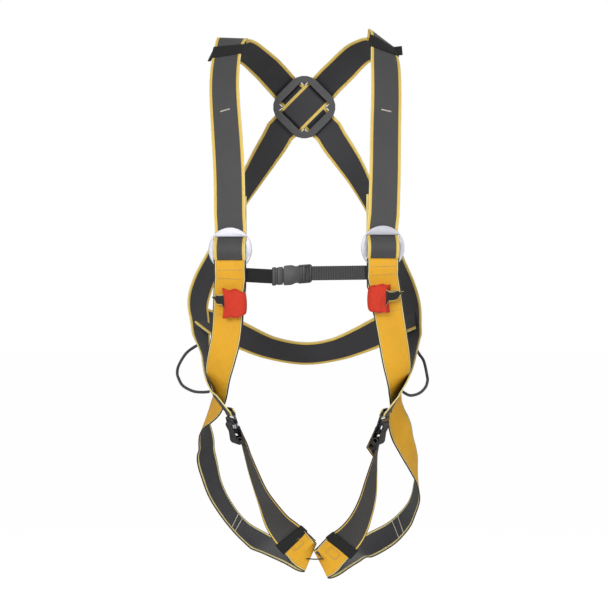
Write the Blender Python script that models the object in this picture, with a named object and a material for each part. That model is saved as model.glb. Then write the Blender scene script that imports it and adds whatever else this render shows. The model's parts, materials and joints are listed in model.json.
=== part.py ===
"""A full body safety harness, laid out as it hangs round a wearer who faces -Y.

The webbing is flat ribbon. Free stretches follow a smooth curve through hand-placed rows, and the
stretches that are drawn tight past bars and slots are worked out from those bars. The origin lies
where the two shoulder straps cross in the dorsal plate, on the wearer's side of the upper strap.
Names say left for -X and right for +X, as seen from in front of the wearer.
"""

import math

import bmesh
import bpy
from mathutils import Matrix, Vector

# Webbing
WEB_WIDTH = 0.045
WEB_THICK = 0.0018
FIT = 0.0003  # between two pieces that touch
LAYER = WEB_THICK + FIT  # from one layer of webbing to the next
LAP = WEB_THICK / 2 + 0.0005  # from a bar's face to the middle of the webbing on it
SLOT_PLAY = 0.002  # how much longer a slot is than its webbing is wide
PAD_DEPTH = LAP + LAYER + WEB_THICK / 2  # from the upper crossing strap's face to the plate's pad
STEPS = 4  # sections in each span of a free stretch
CUT_PAST = 0.02  # how far a cutter reaches past the face that it cuts

# Dorsal plate
PLATE_CORNER = 0.0265
RIM_WIDTH = 0.011
RIM_PROUD = 0.0012  # how far the rim stands out towards the wearer
PAD_THICK = 0.0022
RIM_BACK = PAD_DEPTH + PAD_THICK  # the plate's back face
PAD_SLOT = 0.0062
SLOT_APART = 0.0003  # from the end of one slot to the side of the next
PLATE_SIDE = WEB_WIDTH + SLOT_PLAY + 2 * (SLOT_APART + PAD_SLOT + RIM_WIDTH)
BAR_Z = 0.008
BAR_RADIUS = 0.0045
BARREL_WALL = 0.0028
RING_PLAY = 0.001  # between the hanging ring and the webbing behind it
BARREL_LENGTH = 0.030
RING_HALF_WIDTH = 0.0255
RING_DROP = 0.050

# Round three-bar adjusters on the chest
ADJUSTER_LEFT = (-0.1042, -0.224, -0.2199)
ADJUSTER_RIGHT = (0.1104, -0.224, -0.2172)
ADJUSTER_TURN = 8  # degrees that it faces away from straight ahead
ADJUSTER_THICK = 0.003
CHORD = 0.018  # height of the upper and lower bars' straight edges
ADJUSTER_RIM = 0.0014  # from a slot's corner to the outside
ADJUSTER_RADIUS = math.hypot((WEB_WIDTH + SLOT_PLAY) / 2, CHORD) + ADJUSTER_RIM
MIDDLE_BAR = 0.012  # half its height
ROLL_BULGE = 0.0018  # how far the webbing stands off the middle bar
SHOULDER_TAIL = 0.075  # from the middle bar up to the end of the shoulder webbing's tail

# Chest strap and its side release buckle
CHEST_WIDTH = 0.020
CHEST_Y = -0.219
CHEST_Z = -0.2557
PLUG_X = -0.044
MOUTH_X = -0.0292
SOCKET_END_X = -0.0055
LADDER_X = 0.010
BUCKLE_HEIGHT = 0.028
BUCKLE_THICK = 0.0094
BUCKLE_WALL = 0.0017
LADDER_BAR = 0.003
CHEST_TAIL_X = 0.086

CHEST_BEHIND = 0.0056  # middle of the chest webbing behind the adjuster's middle plane
MIDDLE_BAR_X = 0.0032
WINDOW_START = -0.0235
WINDOW_END = -0.0115
ROOT_X = -0.0315
ARM_Z = 0.0062
ARM_UNDER = 0.0033

# Sternal loops: x, y, z on the middle of the leg strap, and where it faces
STERNAL_LEFT = (-0.107, -0.2197, -0.295, -13, -4)
STERNAL_RIGHT = (0.1178, -0.2196, -0.288, 13, -4)
LOOP_HEIGHT = 0.036
LOOP_BEND = 0.0075
LOOP_OUTER = 0.0214  # from the strap's middle to the loop's sewn side
LOOP_INNER = 0.025  # and to its far side
LOOP_SLEEVE_START = -0.009
LOOP_SEAT = 0.0012
SLEEVE_WALL = 0.001

# Thigh buckles
BUCKLE_LEFT = (-0.102, -0.201, -0.464)
BUCKLE_RIGHT = (0.111, -0.206, -0.465)
BUCKLE_TURN = 78
BUCKLE_LEAN = -18
FRAME_THICK = 0.003
FRAME_RAIL = 0.0068
FRAME_TOP = 0.017
FRAME_BOTTOM = -0.012
FRAME_BAR = 0.006
INNER_TOP = 0.008
INNER_BOTTOM = -0.015
INNER_BAR = 0.005
INNER_RAIL = 0.0046
SLIDER_RADIUS = 0.003
SLIDER_Z = -0.0035
ROLL_RADIUS = 0.0046
ROLL_Z = -0.023
ROLL_LEAN = 0.002
KNURL_DEPTH = 0.0004

# Elastic and cord
BAND_THICK = 0.0012
BAND_PLAY = 0.0006  # between an elastic band and the webbing inside it
KEEPER_FIN = 0.008
GEAR_CORD_RADIUS = 0.0021
CORD_STEPS = 2
CORD_SIDES = 8
CONNECTOR_WIDTH = 0.004
CONNECTOR_LAP = 0.005

BLACK_WEB = ("black_webbing", (0.02, 0.02, 0.021), 0.85, 0.0)
GREY_WEB = ("grey_webbing", (0.07, 0.07, 0.075), 0.85, 0.0)
YELLOW_WEB = ("yellow_webbing", (0.76, 0.40, 0.03), 0.8, 0.0)
RED_WEB = ("red_sleeve", (0.60, 0.035, 0.02), 0.8, 0.0)
ELASTIC = ("black_elastic", (0.02, 0.021, 0.02), 0.9, 0.0)
PLATE_PLASTIC = ("plate_plastic", (0.045, 0.045, 0.048), 0.45, 0.0)
BUCKLE_PLASTIC = ("buckle_plastic", (0.06, 0.06, 0.06), 0.4, 0.0)
BRIGHT_STEEL = ("bright_steel", (0.83, 0.83, 0.86), 0.22, 1.0)
DARK_STEEL = ("dark_steel", (0.05, 0.05, 0.055), 0.3, 1.0)


# Rows: x, y, z of the middle of the webbing, then the azimuth and elevation that its outer face looks to.
FRONT_LEFT = [
    (-0.105, -0.222, -0.171, -8, 0),
    (-0.106, -0.216, -0.115, -8, 0),
    (-0.109, -0.204, -0.064, -10, 6),
    (-0.114, -0.178, 0.002, -16, 14),
    (-0.114, -0.158, 0.039, -22, 25),
    (-0.111, -0.136, 0.068, -40, 45),
    (-0.105, -0.112, 0.088, -55, 78),
    (-0.093, -0.086, 0.086, -160, 60),
    (-0.077, -0.058, 0.075, -168, 42),
    (-0.054, -0.024, 0.054, -160, 34),
]
FRONT_RIGHT = [
    (0.112, -0.222, -0.171, 8, 0),
    (0.114, -0.216, -0.115, 8, 0),
    (0.115, -0.204, -0.064, 10, 6),
    (0.117, -0.178, 0.002, 14, 14),
    (0.117, -0.156, 0.045, 18, 25),
    (0.116, -0.134, 0.071, 30, 45),
    (0.112, -0.110, 0.091, 45, 74),
    (0.099, -0.084, 0.090, 160, 60),
    (0.080, -0.056, 0.076, 168, 42),
    (0.056, -0.024, 0.054, 160, 34),
]
BACK_LEFT = [
    (-0.047, 0.002, -0.053, -138, -6),
    (-0.061, -0.004, -0.076, -123, -10),
    (-0.075, -0.012, -0.100, -115, -8),
    (-0.097, -0.028, -0.141, -106, -6),
    (-0.122, -0.048, -0.193, -114, 0),
    (-0.141, -0.066, -0.235, -126, 0),
    (-0.153, -0.077, -0.267, -132, 0),
    (-0.156, -0.086, -0.295, -131, 0),
    (-0.153, -0.094, -0.323, -127, 0),
]
BACK_RIGHT = [
    (0.047, 0.002, -0.052, 138, -6),
    (0.063, -0.004, -0.076, 123, -10),
    (0.078, -0.012, -0.100, 115, -8),
    (0.098, -0.028, -0.141, 108, -6),
    (0.123, -0.048, -0.199, 112, 0),
    (0.139, -0.064, -0.243, 118, 0),
    (0.150, -0.073, -0.273, 124, 0),
    (0.157, -0.082, -0.302, 127, 0),
    (0.158, -0.091, -0.332, 127, 0),
]
HIP_LEFT = [
    (-0.148, -0.104, -0.353, -113, 0),
    (-0.142, -0.120, -0.381, -98, 0),
    (-0.139, -0.164, -0.406, -84, 0),
    (-0.126, -0.190, -0.429, -77, -4),
]
HIP_RIGHT = [
    (0.157, -0.101, -0.356, 115, 0),
    (0.151, -0.116, -0.381, 100, 0),
    (0.1515, -0.161, -0.404, 88, 0),
    (0.134, -0.192, -0.429, 77, -4),
]
WAIST = [
    (-0.1540, -0.0980, -0.290, -129, -12),
    (-0.1368, -0.0768, -0.309, -130, -15),
    (-0.1245, -0.047, -0.325, -142, 8),
    (-0.095, -0.018, -0.344, -160, 32),
    (-0.052, -0.002, -0.362, -173, 40),
    (0.000, 0.004, -0.371, 180, 40),
    (0.046, -0.002, -0.365, 173, 40),
    (0.086, -0.016, -0.350, 160, 32),
    (0.119, -0.040, -0.334, 145, 16),
    (0.1385, -0.0685, -0.315, 127, -9),
    (0.1550, -0.0928, -0.297, 127, -9),
]
LEG_LEFT = [
    (-0.106, -0.221, -0.277, -12, 0),
    (-0.108, -0.218, -0.319, -15, 0),
    (-0.111, -0.214, -0.347, -18, 0),
    (-0.116, -0.208, -0.373, -26, 0),
    (-0.118, -0.198, -0.396, -40, 0),
    (-0.115, -0.186, -0.410, -54, -4),
    (-0.1145, -0.170, -0.424, -64, -8),
    (-0.1215, -0.150, -0.439, -72, -7),
    (-0.134, -0.136, -0.456, -76, -5),
    (-0.143, -0.119, -0.474, -88, -5),
    (-0.147, -0.100, -0.497, -112, -5),
    (-0.143, -0.078, -0.532, -128, -8),
    (-0.131, -0.056, -0.572, -128, -19),
    (-0.113, -0.040, -0.606, -126, -30),
    (-0.091, -0.032, -0.633, -136, -46),
    (-0.063, -0.032, -0.652, -156, -42),
    (-0.036, -0.048, -0.664, -170, -50),
    (-0.020, -0.080, -0.673, 175, -75),
    (-0.013, -0.112, -0.677, -20, -72),
    (-0.010, -0.133, -0.672, -12, -42),
    (-0.010, -0.1425, -0.660, -10, -8),
    (-0.010, -0.1465, -0.648, -10, 0),
]
LEG_RIGHT = [
    (0.116, -0.221, -0.270, 12, 0),
    (0.120, -0.218, -0.308, 15, 0),
    (0.125, -0.214, -0.344, 18, 0),
    (0.1283, -0.206, -0.376, 27, 0),
    (0.1297, -0.197, -0.399, 43, 0),
    (0.1255, -0.186, -0.411, 56, -4),
    (0.1235, -0.172, -0.424, 64, -6),
    (0.1270, -0.155, -0.439, 64, -4),
    (0.136, -0.152, -0.457, 54, 0),
    (0.139, -0.148, -0.474, 46, 0),
    (0.146, -0.140, -0.493, 58, 0),
    (0.156, -0.124, -0.515, 75, -3),
    (0.164, -0.104, -0.540, 91, -5),
    (0.166, -0.080, -0.568, 104, -5),
    (0.161, -0.060, -0.594, 111, -18),
    (0.152, -0.046, -0.614, 127, -31),
    (0.131, -0.034, -0.637, 143, -37),
    (0.104, -0.032, -0.653, 154, -36),
    (0.077, -0.044, -0.665, 165, -45),
    (0.057, -0.070, -0.675, -170, -68),
    (0.046, -0.105, -0.683, 30, -75),
    (0.042, -0.132, -0.679, 12, -42),
    (0.041, -0.142, -0.666, 10, -8),
    (0.041, -0.1460, -0.655, 10, 0),
]
THIGH_LEFT = [
    (-0.081, -0.196, -0.508, -74, -19),
    (-0.069, -0.195, -0.535, -69, -22),
    (-0.058, -0.191, -0.561, -60, -28),
    (-0.045, -0.184, -0.586, -49, -30),
    (-0.033, -0.174, -0.608, -27, -24),
    (-0.019, -0.164, -0.629, -12, -10),
    (-0.008, -0.1535, -0.646, -10, 0),
]
THIGH_RIGHT = [
    (0.099, -0.198, -0.515, 78, -10),
    (0.095, -0.196, -0.546, 65, -11),
    (0.090, -0.192, -0.571, 55, -22),
    (0.081, -0.184, -0.595, 45, -29),
    (0.069, -0.174, -0.619, 35, -29),
    (0.053, -0.162, -0.641, 18, -15),
    (0.040, -0.1515, -0.656, 10, 0),
]

# Gear loops: x, y, z of the cord between its two ends.
GEAR_LEFT = [
    (-0.166, -0.110, -0.363),
    (-0.174, -0.114, -0.371),
    (-0.182, -0.120, -0.385),
    (-0.184, -0.128, -0.395),
    (-0.182, -0.136, -0.403),
    (-0.175, -0.148, -0.414),
    (-0.160, -0.164, -0.421),
    (-0.146, -0.175, -0.423),
]
GEAR_RIGHT = [
    (0.168, -0.104, -0.370),
    (0.174, -0.114, -0.380),
    (0.178, -0.128, -0.401),
    (0.178, -0.136, -0.408),
    (0.174, -0.148, -0.417),
    (0.164, -0.166, -0.424),
    (0.151, -0.178, -0.426),
]
# Where their ends are sewn: the station of the hip strap and how far from its middle line.
GEAR_ENDS_LEFT = ((0, 0.0), (10, 0.0))
GEAR_ENDS_RIGHT = ((2, -0.008), (10, 0.0))


def clear_scene():
    for obj in list(bpy.data.objects):
        bpy.data.objects.remove(obj)


def material(look):
    name, colour, roughness, metallic = look
    made = bpy.data.materials.get(name)
    if made is None:
        made = bpy.data.materials.new(name)
        made.use_nodes = True
        shader = made.node_tree.nodes["Principled BSDF"]
        shader.inputs["Base Color"].default_value = (*colour, 1.0)
        shader.inputs["Roughness"].default_value = roughness
        shader.inputs["Metallic"].default_value = metallic
        made.diffuse_color = (*colour, 1.0)
    return made


def node(name, data, look, frame=None):
    """One named piece in the scene, placed by a frame."""
    obj = bpy.data.objects.new(name, data)
    bpy.context.collection.objects.link(obj)
    obj.data.materials.append(material(look))
    if frame is not None:
        obj.matrix_world = frame
    return obj


def facing(azimuth, elevation=0.0):
    """Unit vector: azimuth 0 looks to -Y and 90 to +X, and elevation lifts it."""
    a = math.radians(azimuth)
    e = math.radians(elevation)
    return Vector((math.sin(a) * math.cos(e), -math.cos(a) * math.cos(e), math.sin(e)))


def frame_at(point, azimuth=0.0, elevation=0.0, roll=0.0):
    """A frame whose -Y looks to the azimuth and elevation, rolled about that line."""
    turn = Matrix.Rotation(math.radians(azimuth), 4, "Z")
    lift = Matrix.Rotation(math.radians(-elevation), 4, "X")
    spin = Matrix.Rotation(math.radians(roll), 4, "Y")
    return Matrix.Translation(point) @ turn @ lift @ spin


def curve_point(values, index, t):
    """A point on the Catmull-Rom curve through the values, in the span after index."""
    last = len(values) - 1
    a, b, c, d = (values[min(max(index + k, 0), last)] for k in (-1, 0, 1, 2))
    return 0.5 * (
        2 * b + (c - a) * t + (2 * a - 5 * b + 4 * c - d) * t**2 + (3 * b - a - 3 * c + d) * t**3
    )


def route(rows, steps=STEPS):
    """Stations, each a point and an outward normal, along a smooth curve through the rows."""
    points = [Vector(row[:3]) for row in rows]
    normals = [facing(*row[3:5]) for row in rows]
    stations = []
    for span in range(len(rows) - 1):
        for step in range(steps):
            t = step / steps
            stations.append((curve_point(points, span, t), curve_point(normals, span, t).normalized()))
    stations.append((points[-1], normals[-1]))
    return stations


def parallel(stations, distance):
    """The same stretch as a neighbouring layer: moved square to the webbing's own faces."""
    frames = section_frames(stations)
    return [(frame @ Vector((0, distance, 0)), frame.to_3x3().col[1]) for frame in frames]


def folded_back(stations):
    """The same stretch, travelled the other way after a fold, so that its outer face looks inward."""
    return [(point, -normal) for point, normal in reversed(stations)]


def belt(frame, rounds, outer=1, arc=30.0):
    """Stations of webbing drawn tight past rounds in the YZ plane of a frame.

    Each round is y, z and the distance from there to the middle of the webbing, negative where the
    round lies on the webbing's outer face. outer is 1 where the outer face lies left of the travel
    as seen from +X, and -1 where it lies right.
    """
    normals = []
    for (y0, z0, r0), (y1, z1, r1) in zip(rounds, rounds[1:]):
        length = math.hypot(y1 - y0, z1 - z0)
        along = math.atan2(z1 - z0, y1 - y0)
        normals.append(along + outer * math.acos((r0 - r1) / length))
    stations = []
    for index, (y, z, radius) in enumerate(rounds):
        begin = normals[max(index - 1, 0)]
        end = normals[min(index, len(normals) - 1)]
        turn = (end - begin + math.pi) % math.tau - math.pi
        wanted = -outer * math.copysign(1, radius)
        if radius and abs(turn) > math.radians(90) and turn * wanted < 0:
            turn += math.copysign(math.tau, wanted)
        count = max(1, math.ceil(abs(turn) / math.radians(arc)))
        for step in range(count + 1 if radius else 1):
            angle = begin + turn * (step / count if radius else 0.5)
            normal = Vector((0, math.cos(angle), math.sin(angle)))
            point = Vector((0, y, z)) + normal * radius
            stations.append((frame @ point, (frame.to_3x3() @ normal).normalized()))
    return stations


def spaced(stations, least=0.0004):
    """Drops stations that lie almost on the one before."""
    kept = [stations[0]]
    for station in stations[1:]:
        if (station[0] - kept[-1][0]).length > least:
            kept.append(station)
    return kept


def section_frames(stations, closed=False):
    """A rigid frame for each station: X across the webbing, Y to its outer face, Z along it."""
    count = len(stations)
    frames = []
    for index, (point, normal) in enumerate(stations):
        if closed:
            before = stations[index - 1][0]
            after = stations[(index + 1) % count][0]
        else:
            before = stations[max(index - 1, 0)][0]
            after = stations[min(index + 1, count - 1)][0]
        along = (after - before).normalized()
        across = normal.cross(along).normalized()
        outward = along.cross(across)
        turn = Matrix((across, outward, along)).transposed().to_4x4()
        frames.append(Matrix.Translation(point) @ turn)
    return frames


def rectangle(width, height):
    return [(sx * width / 2, sy * height / 2) for sx, sy in ((-1, -1), (1, -1), (1, 1), (-1, 1))]


def sweep(frames, section, closed=False):
    """A solid made by extruding a section along frames.

    A twisting face is split across the same way on both sides, so that nested sweeps stay clear.
    """
    bm = bmesh.new()
    side = bm.verts.layers.int.new("side")
    corners = [bm.verts.new(frames[0] @ Vector((x, y, 0))) for x, y in section]
    for corner, (x, _) in zip(corners, section):
        corner[side] = int(math.copysign(1, x))
    first = [bm.edges.new((corners[i - 1], corners[i])) for i in range(len(corners))]
    ring = first
    for before, after in zip(frames, frames[1:]):
        made = bmesh.ops.extrude_edge_only(bm, edges=ring)["geom"]
        moved = [item for item in made if isinstance(item, bmesh.types.BMVert)]
        bmesh.ops.transform(bm, matrix=after @ before.inverted(), verts=moved)
        ring = [item for item in made if isinstance(item, bmesh.types.BMEdge) and item.is_boundary]
        if len(section) == 4:
            for face in [item for item in made if isinstance(item, bmesh.types.BMFace)]:
                ends = [v for v in face.verts if v[side] == (1 if v in moved else -1)]
                if len(ends) == 2 and ends[0][side] != ends[1][side]:
                    bmesh.utils.face_split(face, *ends)
    if closed:
        bmesh.ops.bridge_loops(bm, edges=first + ring)
    else:
        bmesh.ops.holes_fill(bm, edges=first + ring)
    return finished(bm)


def finished(bm, name="mesh"):
    """The closed bmesh as mesh data, facing out and shaded smooth between its sharp edges."""
    bmesh.ops.recalc_face_normals(bm, faces=bm.faces[:])
    mesh = bpy.data.meshes.new(name)
    bm.to_mesh(mesh)
    bm.free()
    mesh.shade_smooth()
    mesh.set_sharp_from_angle(angle=math.radians(35))
    return mesh


def webbing(name, stations, look=GREY_WEB, width=WEB_WIDTH, thick=WEB_THICK):
    frames = section_frames(spaced(stations))
    return node(name, sweep(frames, rectangle(width, thick)), look)


def rounded(half_x, half_z, radius, steps=5):
    """Points round a rectangle with rounded corners."""
    points = []
    for turn, (sx, sz) in enumerate(((1, 1), (-1, 1), (-1, -1), (1, -1))):
        for step in range(steps + 1):
            angle = math.radians(90 * (turn + step / steps))
            x = sx * (half_x - radius) + radius * math.cos(angle)
            z = sz * (half_z - radius) + radius * math.sin(angle)
            points.append((x, z))
    return points


def shape(centre, half_x, half_z, radius, turn=0.0):
    """A rounded rectangle moved to a centre and turned, in a plate's XZ plane."""
    spin = Matrix.Rotation(math.radians(turn), 2)
    return [tuple(spin @ Vector(point) + Vector(centre)) for point in rounded(half_x, half_z, radius)]


def circle(radius, steps=48):
    return [
        (radius * math.cos(math.tau * step / steps), radius * math.sin(math.tau * step / steps))
        for step in range(steps)
    ]


def prism(outline, y0, y1):
    """A solid between two Y values, from an outline in XZ."""
    bm = bmesh.new()
    face = bm.faces.new([bm.verts.new((x, y0, z)) for x, z in outline])
    made = bmesh.ops.extrude_face_region(bm, geom=[face])["geom"]
    moved = [item for item in made if isinstance(item, bmesh.types.BMVert)]
    bmesh.ops.translate(bm, vec=(0, y1 - y0, 0), verts=moved)
    return finished(bm)


def cylinder(radius, length, axis, centre=(0, 0, 0), sides=24):
    """A solid bar of one radius along X, Y or Z."""
    bm = bmesh.new()
    bmesh.ops.create_cone(
        bm, cap_ends=True, segments=sides, radius1=radius, radius2=radius, depth=length
    )
    turn = Vector((0, 0, 1)).rotation_difference(Vector(axis)).to_matrix().to_4x4()
    bmesh.ops.transform(bm, matrix=Matrix.Translation(centre) @ turn, verts=bm.verts[:])
    return finished(bm)


def block(low, high):
    """A box between two corners."""
    bm = bmesh.new()
    bmesh.ops.create_cube(bm, size=1.0)
    size = Vector(high) - Vector(low)
    middle = (Vector(high) + Vector(low)) / 2
    bmesh.ops.transform(
        bm, matrix=Matrix.Translation(middle) @ Matrix.Diagonal((*size, 1.0)), verts=bm.verts[:]
    )
    return finished(bm)


def combine(obj, meshes, operation="DIFFERENCE"):
    """Cuts meshes from a piece, or joins them to it. They lie in the piece's own frame."""
    for mesh in meshes:
        tool = bpy.data.objects.new(f"{obj.name}_tool", mesh)
        bpy.context.collection.objects.link(tool)
        tool.parent = obj
        tool.hide_render = True
        tool.display_type = "WIRE"
        step = obj.modifiers.new(operation.lower(), "BOOLEAN")
        step.operation = operation
        step.object = tool


def ease_edges(obj, width, segments=2):
    """Rounds the sharp edges of a piece."""
    bevel = obj.modifiers.new("eased edges", "BEVEL")
    bevel.width = width
    bevel.segments = segments
    bevel.limit_method = "ANGLE"
    bevel.angle_limit = math.radians(50)


def plate_frame(roll):
    """The frame of a strap in the plate: Z up along the strap, -Y away from the wearer."""
    return frame_at((0, 0, 0), azimuth=180, roll=roll)


def plate_passage(roll, layers_between):
    """Webbing through the plate from the upper slot to the lower, as layers lie behind the wearer's side."""
    rim_edge = 0.0015
    rim_inner = PLATE_SIDE / 2 - RIM_WIDTH + rim_edge
    rim_outer = PLATE_SIDE / 2 - rim_edge
    rim_y = -(RIM_BACK - rim_edge)
    pad_edge = PAD_THICK / 2
    pad_y = -(PAD_DEPTH + pad_edge)
    pad_end = PLATE_SIDE / 2 - RIM_WIDTH - PAD_SLOT - pad_edge
    past_pad = pad_edge + LAP + layers_between * LAYER
    past_rim = rim_edge + LAP + FIT
    upper = [(rim_y, rim_outer, past_rim), (rim_y, rim_inner, past_rim), (pad_y, pad_end, -past_pad)]
    lower = [(y, -z, radius) for y, z, radius in reversed(upper)]
    entry = [(0.006, 0.054, 0)]
    leave = [(-0.0045, -0.052, 0)]
    return belt(plate_frame(roll), entry + upper + lower + leave, outer=-1)


def build_dorsal_plate():
    """Rounded square plate turned to stand on a corner, with four slots, a raised rim and a barrel."""
    half = PLATE_SIDE / 2
    frame = frame_at((0, 0, 0), azimuth=180)
    window = half - RIM_WIDTH
    outline = shape((0, 0), half, half, PLATE_CORNER, turn=45)
    plate = node("dorsal_plate", prism(outline, RIM_PROUD, -RIM_BACK), PLATE_PLASTIC, frame)
    pocket = shape((0, 0), window, window, PLATE_CORNER - RIM_WIDTH, turn=45)
    cuts = [prism(pocket, RIM_PROUD + CUT_PAST, -PAD_DEPTH)]
    slot_half = (WEB_WIDTH + SLOT_PLAY) / 2
    reach = window - PAD_SLOT / 2
    for turn in (45, 135, 225, 315):
        spin = Matrix.Rotation(math.radians(turn), 2)
        slot = [tuple(spin @ Vector(point)) for point in shape((reach, 0), PAD_SLOT / 2, slot_half, 0.001)]
        cuts.append(prism(slot, CUT_PAST, -CUT_PAST))
    combine(plate, cuts)
    barrel_y = -(RIM_BACK + LAYER + BAR_RADIUS + RING_PLAY)
    outer = BAR_RADIUS + FIT + BARREL_WALL
    half_length = BARREL_LENGTH / 2
    boss = cylinder(outer, BARREL_LENGTH, (1, 0, 0), (0, barrel_y, BAR_Z))
    foot = block(
        (-half_length, -(PAD_DEPTH + PAD_THICK / 2), BAR_Z - outer), (half_length, barrel_y, BAR_Z + outer)
    )
    combine(plate, [boss, foot], "UNION")
    combine(plate, [cylinder(BAR_RADIUS + FIT, 2 * BARREL_LENGTH, (1, 0, 0), (0, barrel_y, BAR_Z))])
    ease_edges(plate, 0.001)
    return frame @ Vector((0, barrel_y, BAR_Z))


def build_dorsal_ring(pivot):
    """The forged ring: a straight bar in the plate's barrel and a round bow below it."""
    stations = []
    bar_half = RING_HALF_WIDTH
    corner = 0.009
    for x in (-bar_half + corner, 0.0, bar_half - corner):
        stations.append((x, 0.0))
    for step in range(1, 5):
        angle = math.radians(90 - 22.5 * step)
        stations.append((bar_half - corner + corner * math.cos(angle), corner * (math.sin(angle) - 1)))
    bow_drop = RING_DROP - bar_half
    for step in range(9):
        angle = math.radians(-180 * step / 8)
        stations.append((bar_half * math.cos(angle), -bow_drop + bar_half * math.sin(angle)))
    for step in range(1, 4):
        angle = math.radians(180 - 22.5 * step)
        stations.append((corner - bar_half + corner * math.cos(angle), corner * (math.sin(angle) - 1)))
    path = [(Vector((x, 0, z)), Vector((0, -1, 0))) for x, z in stations]
    frames = section_frames(path, closed=True)
    section = [(BAR_RADIUS * x, BAR_RADIUS * y) for x, y in circle(1.0, 12)]
    node("dorsal_d_ring", sweep(frames, section, closed=True), DARK_STEEL, Matrix.Translation(pivot))


def adjuster_frame(side):
    centre = ADJUSTER_LEFT if side < 0 else ADJUSTER_RIGHT
    return frame_at(centre, azimuth=side * ADJUSTER_TURN)


def build_adjuster(name, side):
    """Round adjuster plate with two slots: shoulder webbing round the middle bar, leg webbing below."""
    frame = adjuster_frame(side)
    half_y = ADJUSTER_THICK / 2
    body = node(name, prism(circle(ADJUSTER_RADIUS), half_y, -half_y), BRIGHT_STEEL, frame)
    middle = (CHORD + MIDDLE_BAR) / 2
    half_slot = (CHORD - MIDDLE_BAR) / 2
    half_width = (WEB_WIDTH + SLOT_PLAY) / 2
    cuts = []
    for sign in (1, -1):
        slot = shape((0, sign * middle), half_width, half_slot, 0.0012)
        cuts.append(prism(slot, CUT_PAST, -CUT_PAST))
    combine(body, cuts)
    ease_edges(body, 0.0009, 2)


def shoulder_lacing(side):
    """Shoulder webbing from the end of its tail, round the middle bar and up behind the top bar."""
    edge = ADJUSTER_THICK / 2
    past = edge + LAP
    tail_y = past + LAYER + 2 * FIT
    bulge = 0.026
    rounds = [
        (tail_y, SHOULDER_TAIL, 0),
        (tail_y, CHORD, 0),
        (0, edge - MIDDLE_BAR, past),
        (bulge - past - ROLL_BULGE, 0, bulge),
        (0, MIDDLE_BAR - edge, past),
        (0, CHORD + edge, -past),
        (0, ADJUSTER_RADIUS - edge, -past),
    ]
    return belt(adjuster_frame(side), rounds)


def leg_lacing(side):
    """Leg webbing over the bottom bar, from its sewn end behind to the stretch in front."""
    edge = ADJUSTER_THICK / 2
    past = edge + LAP
    rounds = [
        (0.0035, -0.052, 0),
        (0, -(ADJUSTER_RADIUS - edge), past),
        (0, -(CHORD + edge), past),
        (0, -(ADJUSTER_RADIUS - edge), past),
        (0.0006, -0.042, 0),
    ]
    return belt(adjuster_frame(side), rounds, outer=-1)


def buckle_frame(side):
    centre = BUCKLE_LEFT if side < 0 else BUCKLE_RIGHT
    return frame_at(centre, azimuth=side * BUCKLE_TURN, elevation=BUCKLE_LEAN)


def hip_lacing(side):
    """The hip strap's end: down outside the thigh buckle's top bar, round it and up inside."""
    edge = FRAME_THICK / 2
    past = edge + LAP
    middle = FRAME_THICK / 2
    rounds = [
        (middle - past, FRAME_TOP + 0.016, 0),
        (middle, FRAME_TOP - edge, past),
        (middle, FRAME_TOP - FRAME_BAR + edge, past),
        (middle, FRAME_TOP - edge, past),
        (middle + past - 0.001, FRAME_TOP + 0.022, 0),
    ]
    return belt(buckle_frame(side), rounds, outer=-1)


def thigh_lacing(side):
    """Thigh webbing up behind the outer frame, over the slider and down to its rolled tail."""
    edge = FRAME_THICK / 2
    past = edge + LAP
    inner_y = -(edge + FIT)
    rounds = [
        (edge + past + 0.003, FRAME_BOTTOM - 0.022, 0),
        (edge, FRAME_BOTTOM + edge, -past),
        (edge, FRAME_BOTTOM + FRAME_BAR - edge, -past),
        (inner_y, SLIDER_Z, -(SLIDER_RADIUS + LAP)),
        (inner_y, INNER_BOTTOM + INNER_BAR - edge, -past),
        (inner_y, INNER_BOTTOM + edge, -past),
        (inner_y - past - ROLL_LEAN, ROLL_Z, 0),
    ]
    frame = buckle_frame(side)
    hub = Vector((0, inner_y - past - ROLL_LEAN + ROLL_RADIUS, ROLL_Z))
    roll = []
    for step in range(1, 19):
        angle = math.radians(30 * step)
        radius = ROLL_RADIUS - (LAYER + FIT) * step / 12
        normal = Vector((0, math.cos(angle), math.sin(angle)))
        roll.append((frame @ (hub - normal * radius), (frame.to_3x3() @ normal).normalized()))
    return belt(frame, rounds) + roll


def split_webbing(upper_name, lower_name, stations, index):
    """Two pieces of webbing that meet end to end where another strap is sewn over the joint."""
    frames = section_frames(stations)
    section = rectangle(WEB_WIDTH, WEB_THICK)
    node(upper_name, sweep(frames[: index + 1], section), GREY_WEB)
    start = frames[index] @ Matrix.Translation((0, 0, FIT))
    node(lower_name, sweep([start] + frames[index + 1 :], section), GREY_WEB)


def build_shoulder_straps():
    """Each runs from its tail on the chest over the shoulder and through the plate to the other side."""
    plans = (
        ("left", -1, FRONT_LEFT, BACK_RIGHT, HIP_RIGHT, 45, 0),
        ("right", 1, FRONT_RIGHT, BACK_LEFT, HIP_LEFT, -45, 1),
    )
    for word, side, front, back, hip, roll, layers_between in plans:
        stations = shoulder_lacing(side) + route(front)
        stations += plate_passage(roll, layers_between) + route(back + hip)
        upper = spaced(stations[: -STEPS * len(hip)])
        stations = spaced(stations + hip_lacing(-side))
        other = "right" if side < 0 else "left"
        split_webbing(f"shoulder_strap_{word}", f"hip_strap_{other}", stations, len(upper) - 1)


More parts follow.
